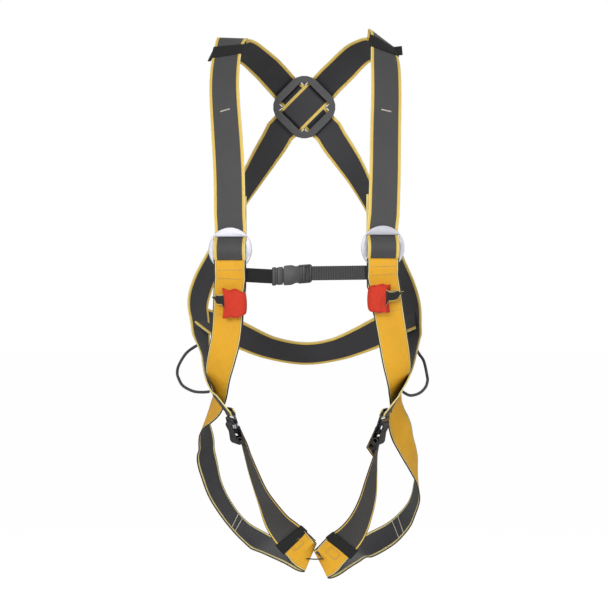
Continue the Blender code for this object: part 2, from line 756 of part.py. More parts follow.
def build_leg_straps():
    """Each runs from its sewn end over the adjuster, down the hip and round the thigh to the crotch."""
    for word, side, leg, thigh in (("left", -1, LEG_LEFT, THIGH_LEFT), ("right", 1, LEG_RIGHT, THIGH_RIGHT)):
        front = route(thigh)
        main = route(leg)
        under = folded_back(parallel(main, -LAYER)[: 2 * STEPS])
        webbing(f"leg_strap_{word}", under[:-2] + leg_lacing(side) + main, YELLOW_WEB)
        webbing(f"thigh_strap_{word}", list(reversed(front)) + thigh_lacing(side))
        build_crotch_band(word, spaced(front))


def sleeve(name, frames, look, width, wall, play=FIT):
    """A tube that fits over webbing of this width along its frames."""
    grow = 2 * (play + wall)
    body = node(name, sweep(frames, rectangle(width + grow, WEB_THICK + grow)), look)
    ends = Matrix.Translation((0, 0, 0.002))
    longer = [frames[0] @ ends.inverted(), *frames, frames[-1] @ ends]
    combine(body, [sweep(longer, rectangle(width + 2 * play, WEB_THICK + 2 * play))])
    return body


def build_crotch_band(word, front):
    """Elastic round the thigh strap just above its sewn end."""
    frames = section_frames(front)[-10:-5]
    sleeve(f"crotch_band_{word}", frames, ELASTIC, WEB_WIDTH, BAND_THICK, BAND_PLAY)


def build_thigh_buckle(word, side):
    """Two steel frames, one drawn through the other, and a knurled slider that grips the webbing."""
    frame = buckle_frame(side)
    opening = (WEB_WIDTH + SLOT_PLAY) / 2
    middle = (FRAME_TOP + FRAME_BOTTOM) / 2
    half = (FRAME_TOP - FRAME_BOTTOM) / 2
    outline = shape((0, middle), opening + FRAME_RAIL, half, 0.006)
    outer = node(f"thigh_buckle_frame_{word}", prism(outline, FRAME_THICK, 0), DARK_STEEL, frame)
    window = shape((0, middle), opening, half - FRAME_BAR, 0.0015)
    combine(outer, [prism(window, 0.02, -0.02)])
    ease_edges(outer, 0.0009)
    middle = (INNER_TOP + INNER_BOTTOM) / 2
    half = (INNER_TOP - INNER_BOTTOM) / 2
    outline = shape((0, middle), opening + INNER_RAIL, half, 0.004)
    inner = node(
        f"thigh_buckle_inner_{word}", prism(outline, -FIT - FRAME_THICK, -FIT), DARK_STEEL, frame
    )
    window = shape((0, middle), opening, half - INNER_BAR, 0.0015)
    combine(inner, [prism(window, 0.02, -0.02)])
    ease_edges(inner, 0.0009)
    bar_y = -(FRAME_THICK / 2 + FIT)
    teeth = 12
    knurl = []
    for step in range(2 * teeth):
        radius = SLIDER_RADIUS - KNURL_DEPTH * (step % 2)
        angle = math.pi * step / teeth
        knurl.append((radius * math.cos(angle), radius * math.sin(angle)))
    ends = opening - FIT
    stations = [(Vector((x, bar_y, SLIDER_Z)), Vector((0, 0, 1))) for x in (-ends, ends)]
    slider = node(f"thigh_buckle_slider_{word}", sweep(section_frames(stations), knurl), BRIGHT_STEEL, frame)
    face = -(2 * FIT + FRAME_THICK)
    lugs = []
    for sign in (-1, 1):
        near, far = sorted((sign * (WEB_WIDTH / 2 + FIT), sign * (opening + INNER_RAIL - 0.001)))
        low = (near, bar_y - SLIDER_RADIUS - 0.0002, SLIDER_Z - SLIDER_RADIUS + 0.0004)
        high = (far, face, SLIDER_Z + SLIDER_RADIUS - 0.0004)
        lugs.append(block(low, high))
    combine(slider, lugs, "UNION")


def loop_frame(side):
    """On the leg strap's outer face, with Z up and X across the strap."""
    x, y, z, azimuth, elevation = STERNAL_LEFT if side < 0 else STERNAL_RIGHT
    return frame_at((x, y, z), azimuth, elevation)


def build_sternal_loop(word, side):
    """A loop of webbing, standing on edge, with a red sleeve over the part that takes a connector."""
    across = loop_frame(side) @ Matrix.Rotation(math.radians(90), 4, "Y")
    sleeve_half = WEB_THICK / 2 + FIT + SLEEVE_WALL
    seat = WEB_THICK / 2 + LOOP_SEAT
    hub_y = -(seat + sleeve_half + LOOP_BEND)
    near = side * (LOOP_OUTER - WEB_THICK / 2 - LOOP_BEND)
    far = -side * (LOOP_INNER - sleeve_half - LOOP_BEND)
    low, high = sorted((near, far))
    pivot = across @ Vector((0, hub_y, near))
    stations = []
    for centre, start in ((high, 0), (low, 180)):
        for step in range(7):
            angle = math.radians(start + 30 * step)
            normal = Vector((0, math.cos(angle), math.sin(angle)))
            stations.append((Vector((0, hub_y, centre)) + normal * LOOP_BEND, normal))
    to_pivot = Matrix.Translation(-pivot) @ across
    placed = [(to_pivot @ point, to_pivot.to_3x3() @ normal) for point, normal in stations]
    frames = section_frames(placed, closed=True)
    band = sweep(frames, rectangle(LOOP_HEIGHT, WEB_THICK), closed=True)
    home = Matrix.Translation(pivot)
    node(f"sternal_loop_{word}", band, BLACK_WEB, home)
    start_x = -side * LOOP_SLEEVE_START
    turn = range(7) if far == high else range(7, 14)
    bend = [placed[index] for index in turn]
    begin = (to_pivot @ Vector((0, hub_y + LOOP_BEND * (1 if far == high else -1), start_x)), bend[0][1])
    finish = (to_pivot @ Vector((0, hub_y - LOOP_BEND * (1 if far == high else -1), start_x)), bend[-1][1])
    covered = section_frames([begin, *bend, finish])
    red = sleeve(f"sternal_loop_sleeve_{word}", covered, RED_WEB, LOOP_HEIGHT, SLEEVE_WALL)
    red.matrix_world = home


def cord(name, points, radius, look):
    """A round cord along a smooth curve through points, with its origin midway between its ends."""
    home = (points[0] + points[-1]) / 2
    rows = [point - home for point in points]
    side = (rows[-1] - rows[0]).cross(rows[len(rows) // 2] - rows[0]).normalized()
    stations = []
    for span in range(len(rows) - 1):
        for step in range(CORD_STEPS):
            stations.append((curve_point(rows, span, step / CORD_STEPS), side))
    stations.append((rows[-1], side))
    section = circle(radius, CORD_SIDES)
    return node(name, sweep(section_frames(stations), section), look, Matrix.Translation(home))


def chest_frame():
    """Y to the wearer and Z to +X, so that chest webbing is laced in its YZ plane."""
    return frame_at((0, CHEST_Y, CHEST_Z), roll=90)


def behind_leg_strap(side, x):
    """A place behind both layers of a leg strap, as y and z of the chest frame."""
    point = adjuster_frame(side) @ Vector((x, CHEST_BEHIND, 0))
    return (point.y - CHEST_Y, point.x, 0)


def build_chest_straps():
    """Each is sewn behind a leg strap. The left is sewn round the plug, the right runs through the ladder."""
    bar = LADDER_BAR / 2
    past = bar + LAP + FIT
    rounds = [
        behind_leg_strap(-1, -0.016),
        behind_leg_strap(-1, 0.024),
        (-past, -0.066, 0),
        (0, PLUG_X + bar, past),
        (past - 0.0006, -0.066, 0),
    ]
    webbing("chest_strap_left", belt(chest_frame(), rounds, outer=1), BLACK_WEB, CHEST_WIDTH)
    rounds = [
        behind_leg_strap(1, 0.016),
        behind_leg_strap(1, -0.024),
        (0, LADDER_X - bar, -past),
        (0, MIDDLE_BAR_X, -past),
        (0, LADDER_X - bar, -past),
        (-past + 0.0008, 0.030, 0),
        (-past + 0.0008, 0.060, 0),
        (-0.0052, CHEST_TAIL_X, 0),
    ]
    webbing("chest_strap_right", belt(chest_frame(), rounds, outer=-1), BLACK_WEB, CHEST_WIDTH)


def build_plug():
    """The buckle's plug: a frame for the strap, and a tongue that guides it into the socket."""
    origin = Matrix.Translation((0, CHEST_Y, CHEST_Z))
    half = BUCKLE_HEIGHT / 2
    slot_half = (CHEST_WIDTH + SLOT_PLAY) / 2
    length = MOUTH_X - FIT - PLUG_X
    middle = PLUG_X + length / 2
    base = shape((middle, 0), length / 2, half - 0.0012, 0.004)
    plug = node("chest_buckle_plug", prism(base, 0.0035, -0.0035), BUCKLE_PLASTIC, origin)
    tongue_half = BUCKLE_THICK / 2 - BUCKLE_WALL - FIT
    tongue = block((MOUTH_X - 0.003, -tongue_half, -0.0042), (-0.013, tongue_half, 0.0042))
    combine(plug, [tongue], "UNION")
    slot = shape((PLUG_X + LADDER_BAR + 0.0025, 0), 0.0025, slot_half, 0.0008)
    thin = []
    for sign in (-1, 1):
        low, high = sorted((sign * LADDER_BAR / 2, sign * 0.01))
        thin.append(block((PLUG_X - 0.01, low, -slot_half), (PLUG_X + LADDER_BAR + 0.001, high, slot_half)))
    notches = []
    for sign in (-1, 1):
        low, high = sorted((sign * ARM_Z, sign * 0.02))
        notches.append(block((MOUTH_X - 0.004, -0.02, low), (0.0, 0.02, high)))
    combine(plug, [prism(slot, 0.02, -0.02), *thin, *notches])
    ease_edges(plug, 0.0006)


def build_latches():
    """The plug's two springy arms, whose heads show in the socket's windows."""
    half_y = BUCKLE_THICK / 2 - BUCKLE_WALL - FIT
    top = BUCKLE_HEIGHT / 2 - 0.0006
    for word, sign in (("upper", 1), ("lower", -1)):
        outline = [
            (0.0, 0.0),
            (0.010, 0.0018),
            (0.0192, 0.0012),
            (0.0196, 0.0034),
            (WINDOW_END - FIT - ROOT_X, top - ARM_Z - 0.0025),
            (WINDOW_START + FIT - ROOT_X + 0.002, top - ARM_Z),
            (WINDOW_START + FIT - ROOT_X, top - ARM_Z - 0.0003),
            (WINDOW_START + FIT - ROOT_X, ARM_UNDER),
            (0.004, ARM_UNDER),
            (0.0, 0.0032),
        ]
        placed = [(x, sign * z) for x, z in outline]
        home = Matrix.Translation((ROOT_X, CHEST_Y, CHEST_Z + sign * (ARM_Z + FIT)))
        arm = node(f"chest_buckle_latch_{word}", prism(placed, half_y, -half_y), BUCKLE_PLASTIC, home)
        ease_edges(arm, 0.0004)


def build_socket():
    """The buckle's socket: a hollow body with two side windows, and a ladder for the strap."""
    origin = Matrix.Translation((0, CHEST_Y, CHEST_Z))
    half = BUCKLE_HEIGHT / 2
    half_y = BUCKLE_THICK / 2
    waist = half - 0.0022
    outline = [
        (MOUTH_X, half - 0.0008),
        (MOUTH_X + 0.004, half),
        (-0.018, half),
        (-0.012, waist),
        (SOCKET_END_X, waist),
    ]
    outline += [(x, -z) for x, z in reversed(outline)]
    socket = node("chest_buckle_socket", prism(outline, half_y, -half_y), BUCKLE_PLASTIC, origin)
    ease_edges(socket, 0.0008)
    reach = (LADDER_X - SOCKET_END_X) / 2 + 0.002
    ladder = shape((LADDER_X - reach, 0), reach, half - 0.0008, 0.003)
    combine(socket, [prism(ladder, LADDER_BAR / 2, -LADDER_BAR / 2)], "UNION")
    inner_y = half_y - BUCKLE_WALL
    cavity = block((MOUTH_X - 0.01, -inner_y, -(waist - BUCKLE_WALL)), (-0.0075, inner_y, waist - BUCKLE_WALL))
    windows = block((WINDOW_START, -inner_y, -0.02), (WINDOW_END, inner_y, 0.02))
    slot_half = (CHEST_WIDTH + SLOT_PLAY) / 2
    first = (SOCKET_END_X + 0.001 + MIDDLE_BAR_X - LADDER_BAR / 2) / 2
    first_half = (MIDDLE_BAR_X - LADDER_BAR / 2 - SOCKET_END_X - 0.001) / 2
    second = (MIDDLE_BAR_X + LADDER_X - LADDER_BAR) / 2 + LADDER_BAR / 4
    second_half = (LADDER_X - LADDER_BAR - MIDDLE_BAR_X - LADDER_BAR / 2) / 2
    slots = [
        prism(shape((first, 0), first_half, slot_half, 0.0008), 0.02, -0.02),
        prism(shape((second, 0), second_half, slot_half, 0.0008), 0.02, -0.02),
    ]
    combine(socket, [cavity, windows, *slots])


def build_keepers():
    """Elastic keepers high on the shoulder straps, with their sewn ends standing out at the side."""
    plans = (("left", FRONT_LEFT, -1, 5 * STEPS), ("right", FRONT_RIGHT, 1, 5 * STEPS + 1))
    for word, front, sign, middle in plans:
        frames = section_frames(route(front))
        across = frames[middle].to_3x3().col[0]
        direction = sign * (1 if across.x > 0 else -1)
        stretch = frames[middle - 1 : middle + 2]
        band = sleeve(f"shoulder_keeper_{word}", stretch, ELASTIC, WEB_WIDTH, BAND_THICK, BAND_PLAY)
        root = WEB_WIDTH / 2 + BAND_PLAY + BAND_THICK / 2
        near, far = sorted((direction * root, direction * (root + KEEPER_FIN)))
        fin = block((near, -BAND_THICK, -0.005), (far, BAND_THICK, 0.005))
        fin.transform(frames[middle])
        combine(band, [fin], "UNION")


def build_gear_loops():
    """A loop of cord on each hip strap, free to swing about the line through its two sewn ends."""
    plans = (
        ("left", HIP_LEFT, GEAR_LEFT, GEAR_ENDS_LEFT, FIT),
        ("right", HIP_RIGHT, GEAR_RIGHT, GEAR_ENDS_RIGHT, 2 * FIT),
    )
    for word, hip, between, ends, play in plans:
        frames = section_frames(route(hip))
        lift = WEB_THICK / 2 + play + GEAR_CORD_RADIUS
        first, last = (frames[index] @ Vector((x, lift, 0)) for index, x in ends)
        points = [first, *(Vector(point) for point in between), last]
        cord(f"gear_loop_{word}", points, GEAR_CORD_RADIUS, BLACK_WEB)


def build_leg_connector():
    """Elastic sewn to the outer faces of both leg straps where they turn up at the crotch."""
    stations = []
    for leg, sign in ((LEG_LEFT, 1), (LEG_RIGHT, -1)):
        frame = section_frames(route(leg))[-2 * STEPS]
        out = math.copysign(1, frame.col[0].x) * sign
        for x in (WEB_WIDTH / 2 - CONNECTOR_LAP, WEB_WIDTH / 2 + FIT)[::sign]:
            stations.append((frame @ Vector((out * x, LAYER + FIT, 0)), frame.to_3x3().col[1]))
    webbing("leg_connector", stations, ELASTIC, CONNECTOR_WIDTH)


def main():
    clear_scene()
    pivot = build_dorsal_plate()
    build_dorsal_ring(pivot)
    build_adjuster("front_adjuster_left", -1)
    build_adjuster("front_adjuster_right", 1)
    build_shoulder_straps()
    build_keepers()
    build_leg_straps()
    webbing("waist_strap", route(WAIST))
    for word, side in (("left", -1), ("right", 1)):
        build_thigh_buckle(word, side)
        build_sternal_loop(word, side)
    build_chest_straps()
    build_plug()
    build_latches()
    build_socket()
    build_gear_loops()
    build_leg_connector()


main()
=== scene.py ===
# %% [markdown]
# # A full body safety harness
# Almost everything here is webbing: a flat ribbon that is woven, sewn and threaded through metal.
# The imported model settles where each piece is. This script gives each piece its real surface.
# The wearer would face -Y. Names say left for -X and right for +X.

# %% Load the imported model
import json
import math

import bmesh
import bpy
from mathutils import Matrix, Vector, noise

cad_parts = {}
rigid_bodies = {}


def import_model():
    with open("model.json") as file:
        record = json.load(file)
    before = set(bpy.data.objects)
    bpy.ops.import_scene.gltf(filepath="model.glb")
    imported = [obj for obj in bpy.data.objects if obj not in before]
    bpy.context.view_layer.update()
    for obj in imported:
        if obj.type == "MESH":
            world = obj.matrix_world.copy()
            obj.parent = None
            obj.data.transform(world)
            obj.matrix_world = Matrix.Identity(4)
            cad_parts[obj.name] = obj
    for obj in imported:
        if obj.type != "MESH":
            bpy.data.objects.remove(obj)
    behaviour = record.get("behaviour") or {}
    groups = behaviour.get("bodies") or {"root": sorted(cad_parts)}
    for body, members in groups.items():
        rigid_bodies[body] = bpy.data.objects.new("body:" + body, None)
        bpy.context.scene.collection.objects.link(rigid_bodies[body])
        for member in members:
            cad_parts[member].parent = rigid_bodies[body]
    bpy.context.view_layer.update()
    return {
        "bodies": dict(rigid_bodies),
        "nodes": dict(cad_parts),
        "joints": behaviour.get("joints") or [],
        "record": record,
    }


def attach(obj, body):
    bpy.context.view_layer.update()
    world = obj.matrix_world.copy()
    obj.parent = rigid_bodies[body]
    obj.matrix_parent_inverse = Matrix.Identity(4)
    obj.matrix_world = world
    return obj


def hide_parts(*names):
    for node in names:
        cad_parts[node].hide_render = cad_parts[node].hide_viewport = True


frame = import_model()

nodes = frame["nodes"]

# %% [markdown]
# ## The webbing's sizes
# Webbing for fall arrest is 45 mm wide and a little under 2 mm thick. Every slot and bar is made to
# it, so the webbing comes first. All sizes are in metres.

# %% Sizes of the webbing
WEB_WIDTH = 0.045
WEB_THICK = 0.0018
FIT = 0.0003  # between two pieces that touch
LAYER = WEB_THICK + FIT  # from one layer of webbing to the next
LAP = WEB_THICK / 2 + 0.0005  # from a bar's face to the middle of the webbing on it
SLOT_PLAY = 0.002  # how much longer a slot is than its webbing is wide
print("webbing", WEB_WIDTH, "m wide and", WEB_THICK, "m thick")

# %% [markdown]
# ## From rows to stations
# A strap that hangs free has no formula. It is placed by rows: x, y and z of a point on its middle
# line in millimetres, then the azimuth and elevation in degrees that its outer face looks to there.
# A Catmull-Rom curve passes through every row, so the webbing goes where it was put. A station is a
# point and an outward normal on that curve, and a section frame adds the direction across it.

# %% Curves through rows
ROUTE_STEPS = 8  # stations from one row to the next


def facing(azimuth, elevation=0.0):
    """Unit vector: azimuth 0 looks to -Y and 90 to +X, and elevation lifts it."""
    a = math.radians(azimuth)
    e = math.radians(elevation)
    return Vector((math.sin(a) * math.cos(e), -math.cos(a) * math.cos(e), math.sin(e)))


def frame_at(point, azimuth=0.0, elevation=0.0, roll=0.0):
    """A frame whose -Y looks to the azimuth and elevation, rolled about that line."""
    turn = Matrix.Rotation(math.radians(azimuth), 4, "Z")
    lift = Matrix.Rotation(math.radians(-elevation), 4, "X")
    spin = Matrix.Rotation(math.radians(roll), 4, "Y")
    return Matrix.Translation(point) @ turn @ lift @ spin


def curve_point(values, index, t):
    """A point on the Catmull-Rom curve through the values, in the span after index."""
    last = len(values) - 1
    a, b, c, d = (values[min(max(index + k, 0), last)] for k in (-1, 0, 1, 2))
    return 0.5 * (
        2 * b + (c - a) * t + (2 * a - 5 * b + 4 * c - d) * t**2 + (3 * b - a - 3 * c + d) * t**3
    )


def route(rows, steps=ROUTE_STEPS):
    """Stations, each a point and an outward normal, along a smooth curve through the rows."""
    points = [Vector([x / 1000 for x in row[:3]]) for row in rows]
    normals = [facing(*row[3:5]) for row in rows]
    stations = []
    for span in range(len(rows) - 1):
        for step in range(steps):
            t = step / steps
            stations.append((curve_point(points, span, t), curve_point(normals, span, t).normalized()))
    stations.append((points[-1], normals[-1]))
    return stations


def section_frames(stations, closed=False):
    """A rigid frame for each station: X across the webbing, Y to its outer face, Z along it."""
    count = len(stations)
    frames = []
    for index, (point, normal) in enumerate(stations):
        if closed:
            before = stations[index - 1][0]
            after = stations[(index + 1) % count][0]
        else:
            before = stations[max(index - 1, 0)][0]
            after = stations[min(index + 1, count - 1)][0]
        along = (after - before).normalized()
        across = normal.cross(along).normalized()
        outward = along.cross(across)
        turn = Matrix((across, outward, along)).transposed().to_4x4()
        frames.append(Matrix.Translation(point) @ turn)
    return frames


def parallel(stations, distance):
    """The same stretch as a neighbouring layer: moved square to the webbing's own faces."""
    frames = section_frames(stations)
    return [(frame @ Vector((0, distance, 0)), frame.to_3x3().col[1]) for frame in frames]


def folded_back(stations):
    """The same stretch, travelled the other way after a fold, so that its outer face looks inward."""
    return [(point, -normal) for point, normal in reversed(stations)]


print("azimuth 90 looks to", facing(90))

# %% [markdown]
# ## Webbing that is drawn tight
# Round a bar the webbing can only lie on the bar and run straight to the next one. So those stretches
# are worked out from the bars, like a belt round pulleys.

# %% Belts round bars
FINE_ARC = 10.0  # degrees from one station to the next round a bar


def belt(frame, rounds, outer=1):
    """Stations of webbing drawn tight past rounds in the YZ plane of a frame.

    Each round is y, z and the distance from there to the middle of the webbing, negative where the
    round lies on the webbing's outer face. outer is 1 where the outer face lies left of the travel
    as seen from +X, and -1 where it lies right.
    """
    normals = []
    for (y0, z0, r0), (y1, z1, r1) in zip(rounds, rounds[1:]):
        length = math.hypot(y1 - y0, z1 - z0)
        along = math.atan2(z1 - z0, y1 - y0)
        normals.append(along + outer * math.acos((r0 - r1) / length))
    stations = []
    for index, (y, z, radius) in enumerate(rounds):
        begin = normals[max(index - 1, 0)]
        end = normals[min(index, len(normals) - 1)]
        turn = (end - begin + math.pi) % math.tau - math.pi
        wanted = -outer * math.copysign(1, radius)
        if radius and abs(turn) > math.radians(90) and turn * wanted < 0:
            turn += math.copysign(math.tau, wanted)
        count = max(1, math.ceil(abs(turn) / math.radians(FINE_ARC)))
        for step in range(count + 1 if radius else 1):
            angle = begin + turn * (step / count if radius else 0.5)
            normal = Vector((0, math.cos(angle), math.sin(angle)))
            point = Vector((0, y, z)) + normal * radius
            stations.append((frame @ point, (frame.to_3x3() @ normal).normalized()))
    return stations


def spaced(stations, least=0.0004):
    """Drops stations that lie almost on the one before."""
    kept = [stations[0]]
    for station in stations[1:]:
        if (station[0] - kept[-1][0]).length > least:
            kept.append(station)
    return kept


def stretched(start, end, count):
    """Stations on the straight line from one to the other, without the last."""
    return [
        (start[0].lerp(end[0], step / count), start[1].lerp(end[1], step / count).normalized())
        for step in range(count)
    ]


def fine(stations, step):
    """The same stretch with stations close enough together for wrinkles."""
    dense = []
    for before, after in zip(stations, stations[1:]):
        dense += stretched(before, after, max(1, round((after[0] - before[0]).length / step)))
    return dense + [stations[-1]]


print("stations round a bar are", FINE_ARC, "degrees apart")

# %% [markdown]
# ## Through the dorsal plate
# Two straps cross between the wearer and the plate's pad. Each runs over the back of the rim, in
# through an upper slot, past the pad, and out through a lower slot. The bars here are the rim's two
# edges and the pad's edge.

# %% Dorsal plate lacing
RIM_WIDTH = 0.011
RIM_EDGE = 0.0015  # radius of the rim's edges, which the webbing bends round
PAD_THICK = 0.0022
PAD_SLOT = 0.0062
PAD_DEPTH = LAP + LAYER + WEB_THICK / 2  # from the upper crossing strap's face to the plate's pad
RIM_BACK = PAD_DEPTH + PAD_THICK  # the plate's back face
SLOT_APART = 0.0003  # from the end of one slot to the side of the next
PLATE_SIDE = WEB_WIDTH + SLOT_PLAY + 2 * (SLOT_APART + PAD_SLOT + RIM_WIDTH)
BEFORE_PLATE = (0.006, 0.054, 0)  # where a strap comes down to the plate: y, z and no bar
AFTER_PLATE = (-0.0045, -0.052, 0)  # and where it goes on


def plate_passage(roll, layers_between):
    """Webbing through the plate from its upper slot to its lower, over the layers that lie on the pad."""
    rim_inner = PLATE_SIDE / 2 - RIM_WIDTH + RIM_EDGE
    rim_outer = PLATE_SIDE / 2 - RIM_EDGE
    rim_y = -(RIM_BACK - RIM_EDGE)
    pad_edge = PAD_THICK / 2
    pad_y = -(PAD_DEPTH + pad_edge)
    pad_end = PLATE_SIDE / 2 - RIM_WIDTH - PAD_SLOT - pad_edge
    past_pad = pad_edge + LAP + layers_between * LAYER
    past_rim = RIM_EDGE + LAP + FIT
    upper = [(rim_y, rim_outer, past_rim), (rim_y, rim_inner, past_rim), (pad_y, pad_end, -past_pad)]
    lower = [(y, -z, radius) for y, z, radius in reversed(upper)]
    frame = frame_at((0, 0, 0), azimuth=180, roll=roll)  # Z up along the strap, -Y away from the wearer
    return belt(frame, [BEFORE_PLATE, *upper, *lower, AFTER_PLATE], outer=-1)


print("the plate is", round(PLATE_SIDE, 4), "m square")

# %% [markdown]
# ## Round the front adjusters
# A three-bar adjuster is a ring with a top, a middle and a bottom bar. The shoulder webbing goes
# round the middle bar and bulges over it. The leg webbing is looped over the bottom bar and sewn.

# %% Front adjuster lacing
ADJUSTERS = {-1: (-0.1042, -0.224, -0.2199), 1: (0.1104, -0.224, -0.2172)}  # left is -1, right is 1
ADJUSTER_TURN = 8  # degrees that it faces away from straight ahead
ADJUSTER_THICK = 0.003
CHORD = 0.018  # height of the upper and lower bars' straight edges
ADJUSTER_RIM = 0.0014  # from a slot's corner to the outside
ADJUSTER_RADIUS = math.hypot((WEB_WIDTH + SLOT_PLAY) / 2, CHORD) + ADJUSTER_RIM
MIDDLE_BAR = 0.012  # half its height
BULGE_PROUD = 0.0048  # how far the webbing stands off the middle bar
BULGE_ROUND = 0.016  # radius of that bulge
BULGE_SAG = 0.0018  # how far the webbing hangs below the middle bar
SHOULDER_TAIL = 0.075  # from the middle bar up to the end of the shoulder webbing's tail
LEG_BEHIND = (0.0035, -0.052, 0)  # where the leg webbing's short sewn layer comes up: y, z and no bar
LEG_FRONT = (-0.0002, -0.040, 0)  # and where its main layer goes down
LEG_SNUG = 0.0012  # how far past the bottom bar's edge the leg webbing is drawn


def adjuster_frame(side):
    return frame_at(ADJUSTERS[side], azimuth=side * ADJUSTER_TURN)


def shoulder_lacing(side):
    """Shoulder webbing from the end of its tail, round the middle bar and up behind the top bar."""
    edge = ADJUSTER_THICK / 2
    past = edge + LAP
    tail_y = past + LAYER + 2 * FIT
    rounds = [
        (tail_y, SHOULDER_TAIL, 0),
        (tail_y, CHORD, 0),
        (0, edge - MIDDLE_BAR - BULGE_SAG, past),
        (BULGE_ROUND - past - BULGE_PROUD, 0, BULGE_ROUND),
        (0, MIDDLE_BAR - edge, past),
        (0, CHORD + edge, -past),
        (0, ADJUSTER_RADIUS - edge, -past),
    ]
    return belt(adjuster_frame(side), rounds)


def leg_lacing(side):
    """Leg webbing over the bottom bar, from its sewn end behind to the stretch in front."""
    edge = ADJUSTER_THICK / 2
    past = edge + LAP
    rounds = [
        LEG_BEHIND,
        (0, -(ADJUSTER_RADIUS - edge), past),
        (0, -(CHORD + edge) + LEG_SNUG, past),
        (0, -(ADJUSTER_RADIUS - edge), past),
        LEG_FRONT,
    ]
    return belt(adjuster_frame(side), rounds, outer=-1)


print("an adjuster is", round(2 * ADJUSTER_RADIUS, 4), "m across")

# %% [markdown]
# ## Round the thigh buckles
# Each buckle is an outer frame with a smaller inner frame and a knurled slider. The hip strap is
# sewn round the outer frame's top bar. The thigh webbing comes up behind the outer frame, turns over
# the slider and goes down in front. Its tail is rolled up, so that it can't slip out.

# %% Thigh buckle lacing
BUCKLES = {-1: (-0.102, -0.201, -0.464), 1: (0.111, -0.206, -0.465)}
BUCKLE_TURN = 78  # degrees that it faces away from straight ahead
BUCKLE_LEAN = -18  # degrees that it looks up, so this one looks down
FRAME_THICK = 0.003
FRAME_TOP = 0.017  # all heights here are from the buckle's middle
FRAME_BOTTOM = -0.012
FRAME_BAR = 0.006  # height of the outer frame's bars
INNER_BOTTOM = -0.015
INNER_BAR = 0.005  # height of the inner frame's lower bar
SLIDER_RADIUS = 0.003
SLIDER_Z = -0.0035
ROLL_RADIUS = 0.0060  # of the rolled tail, on its outside
ROLL_Z = -0.0255
ROLL_LEAN = 0.002  # how far the tail stands out from the inner frame
TURN_STATIONS = 12  # stations in one turn of the rolled tail
ROLL_STATIONS = 18  # the tail is rolled up one turn and a half
HIP_COMES = (0.0065, 0.016)  # where the hip strap comes down: how far outside the top bar and above it
HIP_ENDS = (0.0012, 0.0035)  # where its sewn end stops: how far it is drawn in, and above the bar
THIGH_COMES = (0.003, 0.022)  # where the thigh webbing comes up: how far behind the frame and below it


def buckle_frame(side):
    return frame_at(BUCKLES[side], azimuth=side * BUCKLE_TURN, elevation=BUCKLE_LEAN)


def hip_lacing(side):
    """The hip strap's end: down outside the thigh buckle's top bar, round it and up inside."""
    edge = FRAME_THICK / 2
    past = edge + LAP
    middle = FRAME_THICK / 2
    rounds = [
        (middle - past - HIP_COMES[0], FRAME_TOP + HIP_COMES[1], 0),
        (middle, FRAME_TOP - edge, past),
        (middle, FRAME_TOP - FRAME_BAR + edge, past),
        (middle, FRAME_TOP - edge, past),
        (middle + past - HIP_ENDS[0], FRAME_TOP + HIP_ENDS[1], 0),
    ]
    return belt(buckle_frame(side), rounds, outer=-1)


def thigh_lacing(side):
    """Thigh webbing up behind the outer frame, over the slider and down to its rolled tail."""
    edge = FRAME_THICK / 2
    past = edge + LAP
    inner_y = -(edge + FIT)
    rounds = [
        (edge + past + THIGH_COMES[0], FRAME_BOTTOM - THIGH_COMES[1], 0),
        (edge, FRAME_BOTTOM + edge, -past),
        (edge, FRAME_BOTTOM + FRAME_BAR - edge, -past),
        (inner_y, SLIDER_Z, -(SLIDER_RADIUS + LAP)),
        (inner_y, INNER_BOTTOM + INNER_BAR - edge, -past),
        (inner_y, INNER_BOTTOM + edge, -past),
        (inner_y - past - ROLL_LEAN, ROLL_Z, 0),
    ]
    frame = buckle_frame(side)
    hub = Vector((0, inner_y - past - ROLL_LEAN + ROLL_RADIUS, ROLL_Z))
    roll = []
    for step in range(1, ROLL_STATIONS + 1):
        angle = math.radians(360 / TURN_STATIONS * step)
        radius = ROLL_RADIUS - (LAYER + FIT) * step / TURN_STATIONS
        normal = Vector((0, math.cos(angle), math.sin(angle)))
        roll.append((frame @ (hub - normal * radius), (frame.to_3x3() @ normal).normalized()))
    return belt(frame, rounds) + roll


print("a buckle frame is", round(FRAME_TOP - FRAME_BOTTOM, 4), "m tall")

# %% [markdown]
# ## Finishes
# A finish is one material. Shader maths is easier to read as an expression, so a small class wraps a
# socket and turns + and * into Math nodes. Every other node comes in through one method, `add`.

# %% Shader values
class Value:
    """A socket of a finish. Arithmetic on it adds Math nodes."""

    def __init__(self, finish, socket):
        self.finish = finish
        self.socket = socket

    def math(self, operation, *others):
        return self.finish.add("ShaderNodeMath", {"operation": operation}, (self, *others))

    def __add__(self, other):
        return self.math("ADD", other)

    def __mul__(self, other):
        return self.math("MULTIPLY", other)

    def __sub__(self, other):
        return self.math("SUBTRACT", other)

    def __rsub__(self, other):
        return self.finish.add("ShaderNodeMath", {"operation": "SUBTRACT"}, (other, self))

    def __truediv__(self, other):
        return self.math("DIVIDE", other)

    def __abs__(self):
        return self.math("ABSOLUTE")

    __radd__ = __add__
    __rmul__ = __mul__

    def hump(self):
        """The fraction of it as a rounded hump: 0 at whole numbers and 1 half way between them."""
        fraction = self.math("FRACT")
        return fraction * (1 - fraction) * 4

    def ramp(self, low, high):
        """0 below low and 1 above high, with a soft turn, or the other way round if low is larger."""
        sockets = {"Value": self, "From Min": min(low, high), "From Max": max(low, high)}
        rise = self.finish.add("ShaderNodeMapRange", {"interpolation_type": "SMOOTHSTEP"}, sockets)
        return rise if low < high else 1 - rise


